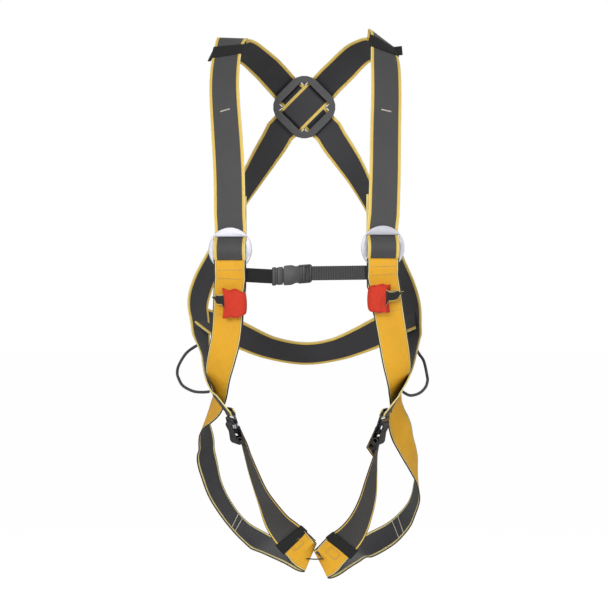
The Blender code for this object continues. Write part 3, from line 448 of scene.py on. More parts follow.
# %% A finish
class Finish:
    """One material, with a method that adds any node and one that feeds the shader."""

    def __init__(self, name, roughness, metallic=0.0, specular=0.5):
        self.material = bpy.data.materials.new(name)
        self.material.use_nodes = True
        self.tree = self.material.node_tree
        self.shader = self.tree.nodes["Principled BSDF"]
        self.shader.inputs["Roughness"].default_value = roughness
        self.shader.inputs["Metallic"].default_value = metallic
        self.shader.inputs["Specular IOR Level"].default_value = specular

    def add(self, kind, settings, sockets, out=0):
        made = self.tree.nodes.new(kind)
        for key, value in settings.items():
            setattr(made, key, value)
        for key, value in sockets.items() if isinstance(sockets, dict) else enumerate(sockets):
            if isinstance(value, Value):
                self.tree.links.new(value.socket, made.inputs[key])
            else:
                made.inputs[key].default_value = value
        return Value(self, made.outputs[out])

    def feed(self, **values):
        for key, value in values.items():
            self.tree.links.new(value.socket, self.shader.inputs[key.replace("_", " ").title()])

    def noise(self, vector, scale, detail=2.0):
        return self.add("ShaderNodeTexNoise", {}, {"Vector": vector, "Scale": scale, "Detail": detail})

    def cloth_noise(self, across, along, seed=0.0):
        """Noise that stays on the cloth, from scaled distances across and along it."""
        return self.noise(self.add("ShaderNodeCombineXYZ", {}, (across, along, seed)), 1.0)

    def mixed(self, factor, first, second):
        """One colour turning into another as factor goes from 0 to 1."""
        return self.add(
            "ShaderNodeMix", {"data_type": "RGBA"}, {0: factor, 6: first, 7: second}, out=2
        )

    def shaded(self, colour, amount):
        """A colour times a value."""
        vector = colour if isinstance(colour, Value) else colour[:3]
        return self.add("ShaderNodeVectorMath", {"operation": "SCALE"}, {0: vector, "Scale": amount})

    def bump(self, height, distance, strength=1.0):
        sockets = {"Height": height, "Distance": distance, "Strength": strength}
        self.feed(normal=self.add("ShaderNodeBump", {}, sockets))

    def place(self):
        return self.add("ShaderNodeTexCoord", {}, {}, out="Object")


def tone(red, green, blue):
    """A display colour, 0 to 255, as the linear colour that a shader takes."""
    def linear(value):
        share = value / 255
        return share / 12.92 if share <= 0.04045 else ((share + 0.055) / 1.055) ** 2.4

    return (linear(red), linear(green), linear(blue), 1.0)


print("a middle grey is", round(tone(128, 128, 128)[0], 3), "as a linear colour")

# %% [markdown]
# ## Webbing
# Webbing is woven, so its pattern follows the ribbon round every bend. Each ribbon carries an attribute
# named `weave`: metres across, metres along, and 0 on the inner face to 1 on the outer. Ribs run along
# the ribbon, and each rib's threads cross half a step after its neighbour's.

# %% Webbing finishes
SEAM = tone(70, 44, 26)
FADE = 0.006  # metres over which the stripes fade out where they end


def weave_values(finish):
    parts = finish.add("ShaderNodeAttribute", {"attribute_name": "weave"}, {}, out="Vector")
    split = finish.add("ShaderNodeSeparateXYZ", {}, (parts,))
    return [Value(finish, split.socket.node.outputs[index]) for index in range(3)]


def woven_height(across, along, rib, pick):
    """Height of the weave, 0 in its gaps to 1 on its threads."""
    column = across / rib
    row = along / pick + column.math("FLOOR") * 0.5
    return column.hump() * (row.hump() * 0.4 + 0.6)


def webbing_finish(name, outer, inner, selvage, width=WEB_WIDTH, plain_from=9.0):
    """outer and inner are each a field colour, an edge colour and the edge's width.

    The selvage is a colour and a width. The stripes stop at plain_from metres along the ribbon.
    """
    made = Finish(name, roughness=0.62, specular=0.3)
    across, along, face = weave_values(made)
    from_edge = width / 2 - abs(across)
    striped_here = along.ramp(plain_from + FADE, plain_from)
    faces = []
    for field, edge, edge_width in (inner, outer):
        mask = from_edge.ramp(edge_width + 0.0003, edge_width - 0.0003) * striped_here
        seam = abs(from_edge - edge_width).ramp(0.0007, 0.0002)
        striped = made.mixed(mask, field, edge)
        faces.append(made.mixed(seam * 0.45, striped, SEAM))
    colour = made.mixed(face.ramp(0.4, 0.6), *faces)
    selvage_colour, selvage_width = selvage
    rim = from_edge.ramp(selvage_width + 0.0002, selvage_width - 0.0002) * striped_here
    colour = made.mixed(rim, colour, selvage_colour)
    thread = made.cloth_noise(across * 900, along * 90)
    cloud = made.cloth_noise(across * 30, along * 14, seed=3.0)
    height = woven_height(across, along, rib=0.0015, pick=0.0022)
    # The weave's height darkens the gaps between the threads in the colour: painted shade.
    light = 0.66 + thread * 0.22 + cloud * 0.20 + height * 0.16
    made.feed(base_color=made.shaded(colour, light))
    made.bump(height, 0.00026, 0.9)
    return made.material


YELLOW_EDGE = tone(232, 196, 96)
PALE_EDGE = tone(232, 218, 150)
GREY = tone(71, 71, 72)
GREY_BACK = tone(56, 56, 59)
THIGH_GREY = tone(66, 65, 64)
YELLOW = tone(229, 170, 40)
DARK_EDGE = tone(58, 46, 38)
BLACK = tone(36, 36, 37)
STRIPE = 0.0046  # width of the yellow edges
SELVAGE = 0.0013  # width of the thigh webbing's outermost edge
grey_webbing = webbing_finish(
    "grey webbing", (GREY, YELLOW_EDGE, STRIPE), (GREY_BACK, YELLOW_EDGE, STRIPE), (PALE_EDGE, 0.0012)
)
THIGH_STRIPE = 0.0036
THIGH_PLAIN = 0.215  # metres from the crotch to the thigh buckle, where the edges are dark
thigh_webbing = webbing_finish(
    "thigh webbing", (THIGH_GREY, YELLOW_EDGE, THIGH_STRIPE), (BLACK, DARK_EDGE, THIGH_STRIPE),
    (DARK_EDGE, SELVAGE), plain_from=THIGH_PLAIN,
)
yellow_webbing = webbing_finish(
    "yellow webbing", (YELLOW, PALE_EDGE, 0.0030), (GREY_BACK, PALE_EDGE, STRIPE), (DARK_EDGE, 0.0016)
)
LOOP_HEIGHT = 0.036  # width of the sternal loops' webbing
loop_webbing = webbing_finish(
    "loop webbing", (BLACK, PALE_EDGE, 0.0022), (BLACK, PALE_EDGE, 0.0022), (PALE_EDGE, 0.0010),
    width=LOOP_HEIGHT,
)
print("webbing finishes:", grey_webbing.name, thigh_webbing.name, yellow_webbing.name, loop_webbing.name)

# %% [markdown]
# ## Elastic, sleeve and thread
# The keepers and the crotch bands are knitted elastic, ribbed along their length. The right half of
# the chest strap is ribbed across. The red sleeve is a softer cloth.

# %% Other cloth finishes
def ribbed_finish(name, colour, pitch, depth, lengthwise):
    made = Finish(name, roughness=0.9, specular=0.25)
    across, along, _ = weave_values(made)
    height = ((across if lengthwise else along) / pitch).hump()
    grain = made.cloth_noise(across * 700, along * 700)
    # The ribs' height darkens the grooves between them in the colour: painted shade.
    made.feed(base_color=made.shaded(colour, 0.62 + height * 0.42 + grain * 0.16))
    made.bump(height, depth)
    return made.material


def cloth_finish(name, colour, thread=0.0009):
    made = Finish(name, roughness=0.85, specular=0.25)
    across, along, _ = weave_values(made)
    height = woven_height(across, along, thread, thread)
    cloud = made.cloth_noise(across * 90, along * 60)
    # The weave's height darkens the gaps between the threads in the colour: painted shade.
    made.feed(base_color=made.shaded(colour, 0.78 + height * 0.12 + cloud * 0.22))
    made.bump(height, 0.0002)
    return made.material


def thread_finish(name, colour):
    made = Finish(name, roughness=0.6)
    grain = made.noise(made.place(), 1800.0)
    made.feed(base_color=made.shaded(colour, 0.8 + grain * 0.4))
    return made.material


RIB_PITCH = 0.0034  # from rib to rib of the chest strap's right half
black_elastic = ribbed_finish("black elastic", tone(36, 37, 36), 0.0017, 0.0003, lengthwise=True)
ribbed_strap = ribbed_finish("ribbed chest strap", tone(68, 68, 69), RIB_PITCH, 0.0005, lengthwise=False)
black_webbing = cloth_finish("black webbing", tone(32, 32, 33), 0.0012)
red_cloth = cloth_finish("red sleeve cloth", tone(214, 62, 42))
pale_thread = thread_finish("pale thread", tone(202, 196, 182))
grey_thread = thread_finish("grey thread", tone(150, 146, 132))
print("cloth and thread:", black_elastic.name, ribbed_strap.name, red_cloth.name, pale_thread.name)

# %% [markdown]
# ## Metal and plastic
# The adjusters are bright plated steel. The thigh buckles are black plated steel with bright patches,
# partly plating scuffed off and partly painted highlight. The plate and the side release buckle are moulded
# plastic with a fine grain.

# %% Hard finishes
def plated_finish(name, colour, wear_and_glint_colour, wear_and_glint_share, roughness):
    """Metal whose plating shows fine scratches, and patches of a second colour: scuffed plating, and where
    that colour is brighter, partly painted highlight.
    """
    made = Finish(name, roughness=roughness, metallic=1.0)
    place = made.place()
    patch = made.noise(place, 160.0, 4.0)
    scratch = made.noise(made.add("ShaderNodeMapping", {}, {"Vector": place, "Scale": (300, 60, 1800)}), 1.0)
    # Where the second colour is brighter than the first, these patches are partly painted highlight.
    rubbed_and_glint = patch.ramp(0.62 - wear_and_glint_share, 0.78 - wear_and_glint_share)
    made.feed(base_color=made.mixed(rubbed_and_glint, colour, wear_and_glint_colour))
    made.feed(roughness=roughness + scratch * 0.12 - rubbed_and_glint * 0.05)
    made.bump(scratch, 0.00003, 0.4)
    return made.material


def moulded_finish(name, colour, roughness):
    made = Finish(name, roughness=roughness)
    place = made.place()
    grain = made.noise(place, 2200.0, 1.0)
    cloud = made.noise(place, 60.0)
    made.feed(base_color=made.shaded(colour, 0.86 + cloud * 0.24))
    made.feed(roughness=roughness + grain * 0.15)
    made.bump(grain, 0.00006, 0.5)
    return made.material


bright_steel = plated_finish("bright steel", tone(178, 178, 185), tone(164, 164, 172), 0.0, 0.5)
# The bright patches on this black steel are partly painted highlight.
black_steel = plated_finish("black steel", tone(40, 40, 43), tone(185, 185, 190), 0.05, 0.32)
knurled_steel = plated_finish("knurled steel", tone(190, 190, 196), tone(225, 225, 230), 0.05, 0.28)
plate_plastic = moulded_finish("plate plastic", tone(55, 55, 57), 0.42)
buckle_plastic = moulded_finish("buckle plastic", tone(50, 50, 51), 0.42)
# The ladder's plastic is darker than the socket's: painted shade of the slots between its bars.
shaded_ladder_plastic = moulded_finish("ladder plastic", tone(34, 34, 35), 0.36)
print("materials so far:", len(bpy.data.materials))

# %% [markdown]
# ## Building a ribbon
# The section is a thin slab with half-round edges. It is extruded ring by ring: each new ring is the
# last one moved by one rigid frame, so the webbing never stretches across. The `weave` attribute is
# written as the rings are made. A `shape` function may then push each vertex, for wrinkles.

# %% Section and sweep
def slab(width, thick, across=12, edge=4):
    """A thin section with half-round edges, as points in order round it."""
    half = (width - thick) / 2
    points = [(half * (2 * step / across - 1), -thick / 2) for step in range(across + 1)]
    for sign in (1, -1):
        for step in range(1, edge):
            angle = math.pi * (step / edge - 0.5)
            points.append((sign * (half + thick / 2 * math.cos(angle)), sign * thick / 2 * math.sin(angle)))
        if sign > 0:
            points += [(half * (1 - 2 * step / across), thick / 2) for step in range(across + 1)]
    return points


def sweep(frames, section, closed=False, shape=None):
    """A bmesh tube along frames, with its weave attribute."""
    bm = bmesh.new()
    weave = bm.verts.layers.float_vector.new("weave")
    ring_number = bm.verts.layers.int.new("ring_number")
    reach = max(y for _, y in section)
    corners = []
    for x, y in section:
        corner = bm.verts.new(frames[0] @ Vector((x, y, 0)))
        corner[weave] = (x, 0.0, 0.5 + 0.5 * y / reach)
        corners.append(corner)
    first = [bm.edges.new((corners[i - 1], corners[i])) for i in range(len(corners))]
    ring = first
    along = 0.0
    for number, (before, after) in enumerate(zip(frames, frames[1:]), 1):
        along += (after.translation - before.translation).length
        made = bmesh.ops.extrude_edge_only(bm, edges=ring)["geom"]
        moved = [item for item in made if isinstance(item, bmesh.types.BMVert)]
        bmesh.ops.transform(bm, matrix=after @ before.inverted(), verts=moved)
        for vert in moved:
            vert[weave] = (vert[weave].x, along, vert[weave].z)
            vert[ring_number] = number
        ring = [item for item in made if isinstance(item, bmesh.types.BMEdge) and item.is_boundary]
    if closed:
        bmesh.ops.bridge_loops(bm, edges=first + ring)
    else:
        bmesh.ops.holes_fill(bm, edges=first + ring)
    if shape:
        for vert in bm.verts:
            turn = frames[vert[ring_number]].to_3x3()
            vert.co += turn @ Vector((*shape(*vert[weave]), 0.0))
    bmesh.ops.recalc_face_normals(bm, faces=bm.faces[:])
    return bm


print("a webbing's section has", len(slab(WEB_WIDTH, WEB_THICK)), "points")

# %% Finished pieces and ribbons
def shown(name, bm, finish, body="harness", stands_for=(), slot=None, sharp=50):
    """A finished piece: its mesh, its finish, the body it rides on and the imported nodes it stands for."""
    mesh = bpy.data.meshes.new(name)
    bm.to_mesh(mesh)
    bm.free()
    mesh.shade_smooth()
    mesh.set_sharp_from_angle(angle=math.radians(sharp))
    mesh.materials.append(finish)
    made = bpy.data.objects.new(name, mesh)
    bpy.context.collection.objects.link(made)
    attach(made, body)
    if stands_for:
        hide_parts(*stands_for)
    return made


class Ribbon:
    """A stretch of webbing, and where things lie on it."""

    def __init__(self, stations, width=WEB_WIDTH, thick=WEB_THICK, closed=False):
        self.frames = section_frames(spaced(stations), closed)
        self.width = width
        self.thick = thick
        self.closed = closed
        self.marks = [0.0]
        for before, after in zip(self.frames, self.frames[1:]):
            self.marks.append(self.marks[-1] + (after.translation - before.translation).length)
        self.length = self.marks[-1]

    def at(self, along, across=0.0, lift=0.0):
        """A frame on the ribbon: X across, Y out of its outer face, Z along it."""
        after = next((i for i, mark in enumerate(self.marks) if mark > along), len(self.marks) - 1)
        before = max(after - 1, 0)
        share = (along - self.marks[before]) / max(self.marks[after] - self.marks[before], 1e-9)
        mixed = self.frames[before].lerp(self.frames[after], min(max(share, 0.0), 1.0))
        return mixed @ Matrix.Translation((across, lift, 0))

    def reach(self, height):
        """How far along the middle line passes a height for the last time."""
        for index in range(len(self.frames) - 1, 0, -1):
            low = self.frames[index - 1].translation.z
            high = self.frames[index].translation.z
            if (low - height) * (high - height) <= 0 and low != high:
                share = (height - low) / (high - low)
                return self.marks[index - 1] + (self.marks[index] - self.marks[index - 1]) * share

    def build(self, name, finish, shape=None, **words):
        bm = sweep(self.frames, slab(self.width, self.thick), self.closed, shape=shape)
        return shown(name, bm, finish, **words)


# %% [markdown]
# ## The grey straps
# One long piece of webbing starts as a tail on the chest, goes round the adjuster's middle bar, over
# the shoulder, through the plate to the other side, and down the flank to the thigh buckle.
# The rows start above the adjuster. Over the shoulder the outer face turns from the front to the back.

# %% Rows of the shoulder straps
FRONT_LEFT = [
    (-105, -222, -171, -8, 0), (-106, -216, -115, -8, 0), (-109, -204, -64, -10, 6),
    (-114, -178, 2, -16, 14), (-114, -158, 39, -18, 25), (-110.5, -136, 70, -26, 45),
    (-104.5, -116, 89.5, 20, 84), (-100, -101, 74.5, -148, 42), (-86, -80, 74.5, -158, 44),
    (-72, -55, 67.5, -168, 42), (-54, -24, 54, -160, 34),
]
FRONT_RIGHT = [
    (112, -222, -171, 8, 0), (114, -216, -115, 8, 0), (115, -204, -64, 10, 6),
    (117, -178, 2, 14, 14), (117, -156, 45, 18, 25), (115.5, -135, 71, 42, 42),
    (111.5, -116, 90.5, 88, 54), (107, -100, 76.5, 136, 42), (94, -80, 77.5, 158, 46),
    (77.5, -53, 72.5, 168, 42), (56, -24, 54, 160, 34),
]
BACK_LEFT = [
    (-45.5, 3, -53, -156, -6), (-60, -3, -76, -140, -8), (-75.5, -12, -102, -125, -8),
    (-97, -28, -141, -111, -6), (-117, -46, -193, -112, 0), (-135.5, -62, -236, -122, 0),
    (-149.5, -76, -268, -130, 0), (-156, -86, -295, -131, 0), (-153, -94, -323, -127, 0),
]
BACK_RIGHT = [
    (45.5, 3, -52, 156, -6), (62, -3, -76, 140, -8), (78.5, -12, -102, 125, -8),
    (98, -28, -141, 112, -6), (123, -48, -199, 112, 0), (139, -64, -243, 118, 0),
    (150, -73, -273, 124, 0), (157, -82, -302, 127, 0), (158, -91, -332, 127, 0),
]
HIP_LEFT = [
    (-149.5, -104, -353, -121, -4), (-142.8, -128, -381, -105, -10), (-139.7, -154, -401, -92, -17),
    (-132.4, -177, -420, -87, -28), (-121.7, -191, -436, -85, -36),
]
HIP_RIGHT = [
    (158.5, -101, -356, 122, -4), (154.8, -127, -381, 106, -14), (147.5, -155, -401, 92, -28),
    (137.5, -180, -420, 87, -34), (127, -194, -436.5, 84, -36),
]
print("rows:", len(FRONT_LEFT + BACK_RIGHT + HIP_RIGHT), "and", len(FRONT_RIGHT + BACK_LEFT + HIP_LEFT))

# %% [markdown]
# A little noise keeps the free stretches from looking like sheet metal: soft waves in the face, a
# slight cup, and a pull at the edges.

# %% Shoulder straps, down to the thigh buckles
def slack(amount, seed):
    """Soft waves in the face of the webbing, and a slight pull at its edges."""
    def push(across, along, face):
        wave = noise.noise(Vector((along * 16, across * 14, seed)))
        cup = (across / WEB_WIDTH) ** 2 * noise.noise(Vector((along * 9, 0.0, seed + 7)))
        edge = noise.noise(Vector((along * 22, math.copysign(5, across), seed))) * across / WEB_WIDTH
        return (edge * amount * 0.7, (wave * 0.6 + cup * 2.0) * amount)

    return push


shoulders = {}
for word, side, front, back, hip, roll, layers_between in (
    ("left", -1, FRONT_LEFT, BACK_RIGHT, HIP_RIGHT, 45, 0),
    ("right", 1, FRONT_RIGHT, BACK_LEFT, HIP_LEFT, -45, 1),
):
    other = "right" if side < 0 else "left"
    stations = shoulder_lacing(side) + route(front) + plate_passage(roll, layers_between)
    stations += route(back + hip) + hip_lacing(-side)
    shoulders[word] = Ribbon(stations)
    shoulders[word].build(
        f"shoulder_and_flank_{word}", grey_webbing, shape=slack(0.0004, side),
        stands_for=(f"shoulder_strap_{word}", f"hip_strap_{other}"), slot="grey_webbing",
    )
    print("shoulder strap", word, round(shoulders[word].length, 3), "m long")

# %% [markdown]
# ## The waist strap
# The waist strap hangs in a curve behind the wearer, and its ends are sewn to the flank straps.
# At the middle its outer face looks up a little, as webbing does that lies on the hips.

# %% Waist strap
WAIST = [
    (-158.5, -90.5, -307, -129, -26), (-140, -74, -322.5, -130, -26), (-124.5, -47, -331.5, -142, 4),
    (-95, -18, -344, -160, 32), (-52, -2, -362, -173, 40), (0, 4, -371, 180, 40),
    (46, -2, -365, 173, 40), (86, -16, -350, 160, 32), (119, -40, -334, 145, 16),
    (140, -67, -326, 127, -25), (162.5, -93.5, -313, 127, -18),
]
waist = Ribbon(route(WAIST))
waist.build(
    "waist_webbing", grey_webbing, shape=slack(0.0004, 3), stands_for=("waist_strap",), slot="grey_webbing"
)
print("waist strap", round(waist.length, 3), "m long")

# %% [markdown]
# ## The leg straps
# These are yellow on one face and grey on the other, so they show which way they are turned.
# Each begins with a short layer sewn behind the main one, goes over the adjuster's lower bar, and ends
# in front of the crotch, where the grey thigh strap from the buckle meets it.

# %% Rows of the leg and thigh straps
LEG_LEFT = [
    (-106, -221, -277, -12, 0), (-108, -218, -319, -15, 0), (-111, -214, -347, -18, 0),
    (-117.2, -208, -373, -22, 0), (-122.5, -198, -396, -31, 0), (-122.8, -188, -410, -42, 0),
    (-122.5, -178, -423, -54, 0), (-125, -166, -437, -65, 4), (-131.3, -153, -447.5, -76, 10),
    (-139.4, -137, -457.6, -89, 15), (-145, -120, -471, -103, 10), (-145.5, -107, -484.6, -116, 0),
    (-143.8, -96, -500, -124, -5), (-144.4, -86, -518, -130, -8), (-139.5, -75, -541, -131, -12),
    (-131, -58, -572, -128, -19), (-113, -40, -606, -126, -30), (-91, -32, -633, -136, -44),
    (-63, -36, -652, -156, -42), (-34.3, -72, -659.8, -166, -42), (-10.6, -112, -662.9, -182, -40),
    (3, -140, -663.4, -210, -32), (8.2, -153, -660.5, 80, -22), (-0.4, -161.2, -653.8, 12, -10),
    (-7.6, -164.2, -644.8, 8, -8), (-17, -170, -633, 5, -12),
]
LEG_RIGHT = [
    (112.5, -221.5, -268, 10, 0), (116, -220, -289, 12, 0), (119.5, -218, -312, 15, 0),
    (125, -214, -344, 18, 0), (130.5, -206, -376, 22, 0), (134, -197, -399, 34, 0),
    (133.5, -186, -411, 45, -4), (132.5, -172, -424, 58, -6), (131.8, -158, -439, 68, -4),
    (132, -154, -449, 60, 0), (135, -152, -464, 47, 0), (140, -148, -481, 44, 0),
    (147.5, -140, -500, 57, 0), (157, -124, -521, 73, -3), (164.5, -104, -542, 90, -5),
    (166, -80, -568, 104, -5), (161, -60, -594, 111, -18), (152, -46, -614, 127, -31),
    (131, -34, -637, 143, -37), (104, -32, -653, 154, -36), (80, -46, -664, 163, -42),
    (62.8, -80, -668.4, 168, -44), (44.6, -115, -672.4, 178, -42), (30.5, -140, -673.2, 210, -34),
    (24.7, -152, -670.4, -80, -26), (32.6, -160.6, -664.3, -12, -10), (38.3, -163.2, -657, -6, -8),
    (47.5, -168.2, -646, -2, -12),
]
THIGH_LEFT = [
    (-81, -196, -508, -76, -19), (-72, -195, -535, -69, -22), (-62, -191, -561, -62, -28),
    (-49.5, -185, -586, -46, -30), (-36.1, -176, -610.5, -22, -22), (-18.5, -167, -632, 5, -12),
    (-6.5, -161, -644.5, 8, -8), (1, -158.5, -652, 8, -6),
]
THIGH_RIGHT = [
    (103.5, -200, -500, 84, -12), (99.8, -199, -515, 80, -10), (94.5, -196, -546, 66, -13),
    (89.5, -191, -573, 55, -22), (80, -182, -601, 40, -26), (66.8, -173, -625.8, 18, -20),
    (48.1, -165, -646.4, -2, -12), (36.9, -160, -658.7, -6, -8), (29.7, -158, -666.1, -6, -6),
]
print("rows of the leg straps:", len(LEG_LEFT), "and", len(LEG_RIGHT))

# %% Leg straps and front thigh straps
legs = {}
thighs = {}
for word, side, leg, thigh in (("left", -1, LEG_LEFT, THIGH_LEFT), ("right", 1, LEG_RIGHT, THIGH_RIGHT)):
    main = route(leg)
    under = folded_back(parallel(main, -LAYER)[: 2 * ROUTE_STEPS])
    legs[word] = Ribbon(under[:-4] + leg_lacing(side) + main)
    legs[word].build(
        f"leg_webbing_{word}", yellow_webbing, shape=slack(0.0003, side + 4),
        stands_for=(f"leg_strap_{word}",), slot="yellow_webbing",
    )
    thighs[word] = Ribbon(list(reversed(route(thigh))) + thigh_lacing(side))
    thighs[word].build(
        f"thigh_webbing_{word}", thigh_webbing, shape=slack(0.0003, side + 8),
        stands_for=(f"thigh_strap_{word}",), slot="grey_webbing",
    )
    print("leg strap", word, round(legs[word].length, 3), "m long")
    print("thigh strap", word, round(thighs[word].length, 3), "m long")

# %% [markdown]
# ## Hard pieces
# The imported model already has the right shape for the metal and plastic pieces. Its triangles are
# loose, so a copy is merged, and the flat faces are joined before smooth shading is put on.
# The chest strap is not quite level, so its buckle's pieces are moved in height with it.

# %% Metal and plastic pieces
CHEST_LINE = (  # x on the chest strap, and how far it hangs above a level line there
    (-0.083, 0.0),
    (-0.044, -0.0021),
    (0.010, 0.0024),
    (0.087, 0.0034),
)


def settled(point):
    """A point of the straight chest strap, moved to where the strap hangs."""
    ends = list(zip(CHEST_LINE, CHEST_LINE[1:]))
    (x0, low), (x1, high) = next((pair for pair in ends if point.x < pair[1][0]), ends[-1])
    share = min(max((point.x - x0) / (x1 - x0), 0.0), 1.0)
    return point + Vector((0, 0, low + (high - low) * share))


def dressed(node, finish, body="harness", slot=None):
    bm = bmesh.new()
    bm.from_mesh(nodes[node].data)
    bmesh.ops.remove_doubles(bm, verts=bm.verts[:], dist=2e-6)
    bmesh.ops.dissolve_limit(bm, angle_limit=math.radians(0.5), verts=bm.verts[:], edges=bm.edges[:])
    if node.startswith("chest_buckle"):
        for vert in bm.verts:
            vert.co = settled(vert.co)
    return shown(f"{node}_shell", bm, finish, body, (node,), slot, sharp=32)


hard_pieces = [
    ("dorsal_plate", plate_plastic, "harness", "plate_plastic"),
    ("dorsal_d_ring", knurled_steel, "d_ring", "dark_steel"),
    ("chest_buckle_socket", buckle_plastic, "harness", "buckle_plastic"),
    ("chest_buckle_latch_upper", buckle_plastic, "latch_upper", "buckle_plastic"),
    ("chest_buckle_latch_lower", buckle_plastic, "latch_lower", "buckle_plastic"),
]
for word in ("left", "right"):
    hard_pieces += [
        (f"front_adjuster_{word}", bright_steel, "harness", "bright_steel"),
        (f"thigh_buckle_frame_{word}", black_steel, "harness", "dark_steel"),
        (f"thigh_buckle_inner_{word}", black_steel, "harness", "dark_steel"),
        (f"thigh_buckle_slider_{word}", knurled_steel, "harness", "bright_steel"),
    ]
for node, finish, body, slot in hard_pieces:
    dressed(node, finish, body, slot)
print("hard pieces:", len(hard_pieces))

# %% [markdown]
# ## The plug and the ladder
# The plug's base is a thick bar with a slot, and the ladder is two bars between rails. Each is a few
# outlines in X and Z, extruded along Y and rounded over, then moved to where the buckle hangs.

# %% Plug and ladder
CHEST_Y = -0.219  # the middle of the chest buckle
CHEST_Z = -0.2557


def block(bm, x0, x1, low, high, front, back, round_over):
    """Adds a rounded plate to bm: an outline in X and Z, extruded from front to back along Y."""
    verts = [bm.verts.new((x, front, z)) for x, z in ((x0, low), (x1, low), (x1, high), (x0, high))]
    face = bm.faces.new(verts)
    made = bmesh.ops.extrude_face_region(bm, geom=[face])["geom"]
    moved = [item for item in made if isinstance(item, bmesh.types.BMVert)]
    bmesh.ops.translate(bm, vec=(0, back - front, 0), verts=moved)
    edges = list({edge for vert in verts + moved for edge in vert.link_edges})
    bmesh.ops.recalc_face_normals(bm, faces=bm.faces[:])
    bmesh.ops.bevel(
        bm, geom=edges, offset=round_over, segments=3, affect="EDGES", profile=0.5, material=-1
    )


def moulded(name, blocks, finish, **words):
    """One moulded piece of the chest buckle, made of blocks round the buckle's own middle."""
    bm = bmesh.new()
    for sizes in blocks:
        block(bm, *sizes)
    for vert in bm.verts:
        vert.co = settled(vert.co + Vector((0, CHEST_Y, CHEST_Z)))
    shown(name, bm, finish, slot="buckle_plastic", sharp=40, **words)


# Each block: its two ends in x, its low and high side, its front and back, and its rounding.
PLUG_BLOCKS = (
    (-0.0455, -0.0395, -0.0130, 0.0130, -0.0046, 0.0046, 0.0018),
    (-0.0412, -0.0358, -0.0118, 0.0118, -0.0031, 0.0031, 0.0008),
    (-0.0382, -0.0300, -0.0126, 0.0126, -0.0044, 0.0044, 0.0016),
    (-0.0315, -0.0262, -0.0100, 0.0100, -0.0030, 0.0030, 0.0008),
)
LADDER_BLOCKS = (
    (-0.0062, -0.0020, -0.0112, 0.0112, -0.0045, 0.0045, 0.0014),
    (-0.0030, 0.0016, -0.0112, 0.0112, -0.0050, -0.0014, 0.0012),
    (0.0068, 0.0106, -0.0118, 0.0118, -0.0052, -0.0010, 0.0014),
    (-0.0040, 0.0104, -0.0122, -0.0100, -0.0042, 0.0036, 0.0008),
    (-0.0040, 0.0104, 0.0100, 0.0122, -0.0042, 0.0036, 0.0008),
)
moulded("plug_body", PLUG_BLOCKS, buckle_plastic, stands_for=("chest_buckle_plug",))
moulded("ladder_bars", LADDER_BLOCKS, shaded_ladder_plastic)
print("plug and ladder made of", len(PLUG_BLOCKS), "and", len(LADDER_BLOCKS), "blocks")

# %% [markdown]
# ## Elastic keepers and bands
# A keeper is a short tube of elastic round the webbing. It is swept along the same frames as the
# webbing inside it, so it can't cut into it. Its sewn end stands out at the side.

# %% Keepers
BAND_THICK = 0.0012
BAND_PLAY = 0.0006  # between an elastic band and the webbing inside it


def band(name, ribbon, start, length, node, over=0.0):
    """A sleeve of elastic on a ribbon, thicker on its outer face where it goes over one more layer."""
    count = 8
    frames = [ribbon.at(start + length * step / count, lift=over / 2) for step in range(count + 1)]
    wall = 2 * (BAND_PLAY + BAND_THICK)

    def rolled(across, along, face):
        """The ends of the band are rounded over."""
        share = abs(along / length - 0.5) * 2
        return (0.0, -(face - 0.5) * 0.0014 * share**6)

    bm = sweep(frames, slab(ribbon.width + wall, ribbon.thick + over + wall), shape=rolled)
    return shown(name, bm, black_elastic, stands_for=(node,), slot="black_elastic")


KEEPER_TABS = {  # where each keeper's sewn end points, which way it faces and its height
    "left": ((-0.0060, -0.0020, -0.0125), (-0.80, -0.35, 0.38), 0.011),
    "right": ((0.0095, -0.0010, 0.0010), (0.10, -1.0, 0.10), 0.0135),
}
KEEPER_STATIONS = {"left": 5 * ROUTE_STEPS, "right": 5 * ROUTE_STEPS + 2}  # where their tabs are
KEEPER_LENGTH = 0.0205
KEEPER_FRONT = 0.0120  # from the end of a keeper at the front to its tab
fronts = {"left": FRONT_LEFT, "right": FRONT_RIGHT}
for word, side in (("left", -1), ("right", 1)):
    front = Ribbon(route(fronts[word]))
    middle = front.marks[KEEPER_STATIONS[word]]
    band(f"keeper_{word}", front, middle - KEEPER_FRONT, KEEPER_LENGTH, f"shoulder_keeper_{word}")
    edges = (front.at(middle, sign * WEB_WIDTH / 2).translation for sign in (1, -1))
    edge = min(edges, key=lambda place: -side * place.x)
    lean, facing_way, height = KEEPER_TABS[word]
    stations = [(edge + Vector(lean) * (share / 4), Vector(facing_way)) for share in range(-1, 5)]
    tab = Ribbon(stations, width=height, thick=2 * BAND_THICK)
    tab.build(f"keeper_tab_{word}", black_elastic, slot="black_elastic")
    print("keeper", word, round(middle, 3), "m along its strap")

# %% [markdown]
# ## At the crotch
# A narrow band holds the end of each leg strap on its thigh strap. A thin strip joins the two sides.

# %% Crotch bands and the connector
CROTCH_BAND = 0.015
CROTCH_STARTS = {"left": 0.021, "right": 0.029}  # from the thigh strap's end at the crotch
for word, start in CROTCH_STARTS.items():
    band(f"crotch_elastic_{word}", thighs[word], start, CROTCH_BAND, f"crotch_band_{word}", LAYER + FIT)

CONNECTOR = ((0.003, -0.1615, -0.6615), (0.015, -0.1640, -0.6622), (0.0275, -0.1635, -0.6615))
connector = Ribbon([(Vector(point), facing(0)) for point in CONNECTOR], width=0.0018)
connector.build("crotch_connector", black_elastic, stands_for=("leg_connector",), slot="black_elastic")
print("crotch bands", CROTCH_BAND, "m long and the connector", round(connector.length, 4), "m")

# %% [markdown]
# ## Sternal loops
# A loop of webbing stands on edge on each leg strap. A red sleeve shows where a connector goes. The
# sleeve is a little too long for the loop, so its edges are wavy. Both are swept round the same bends
# and then reshaped vertex by vertex, in a frame that lies on the strap.

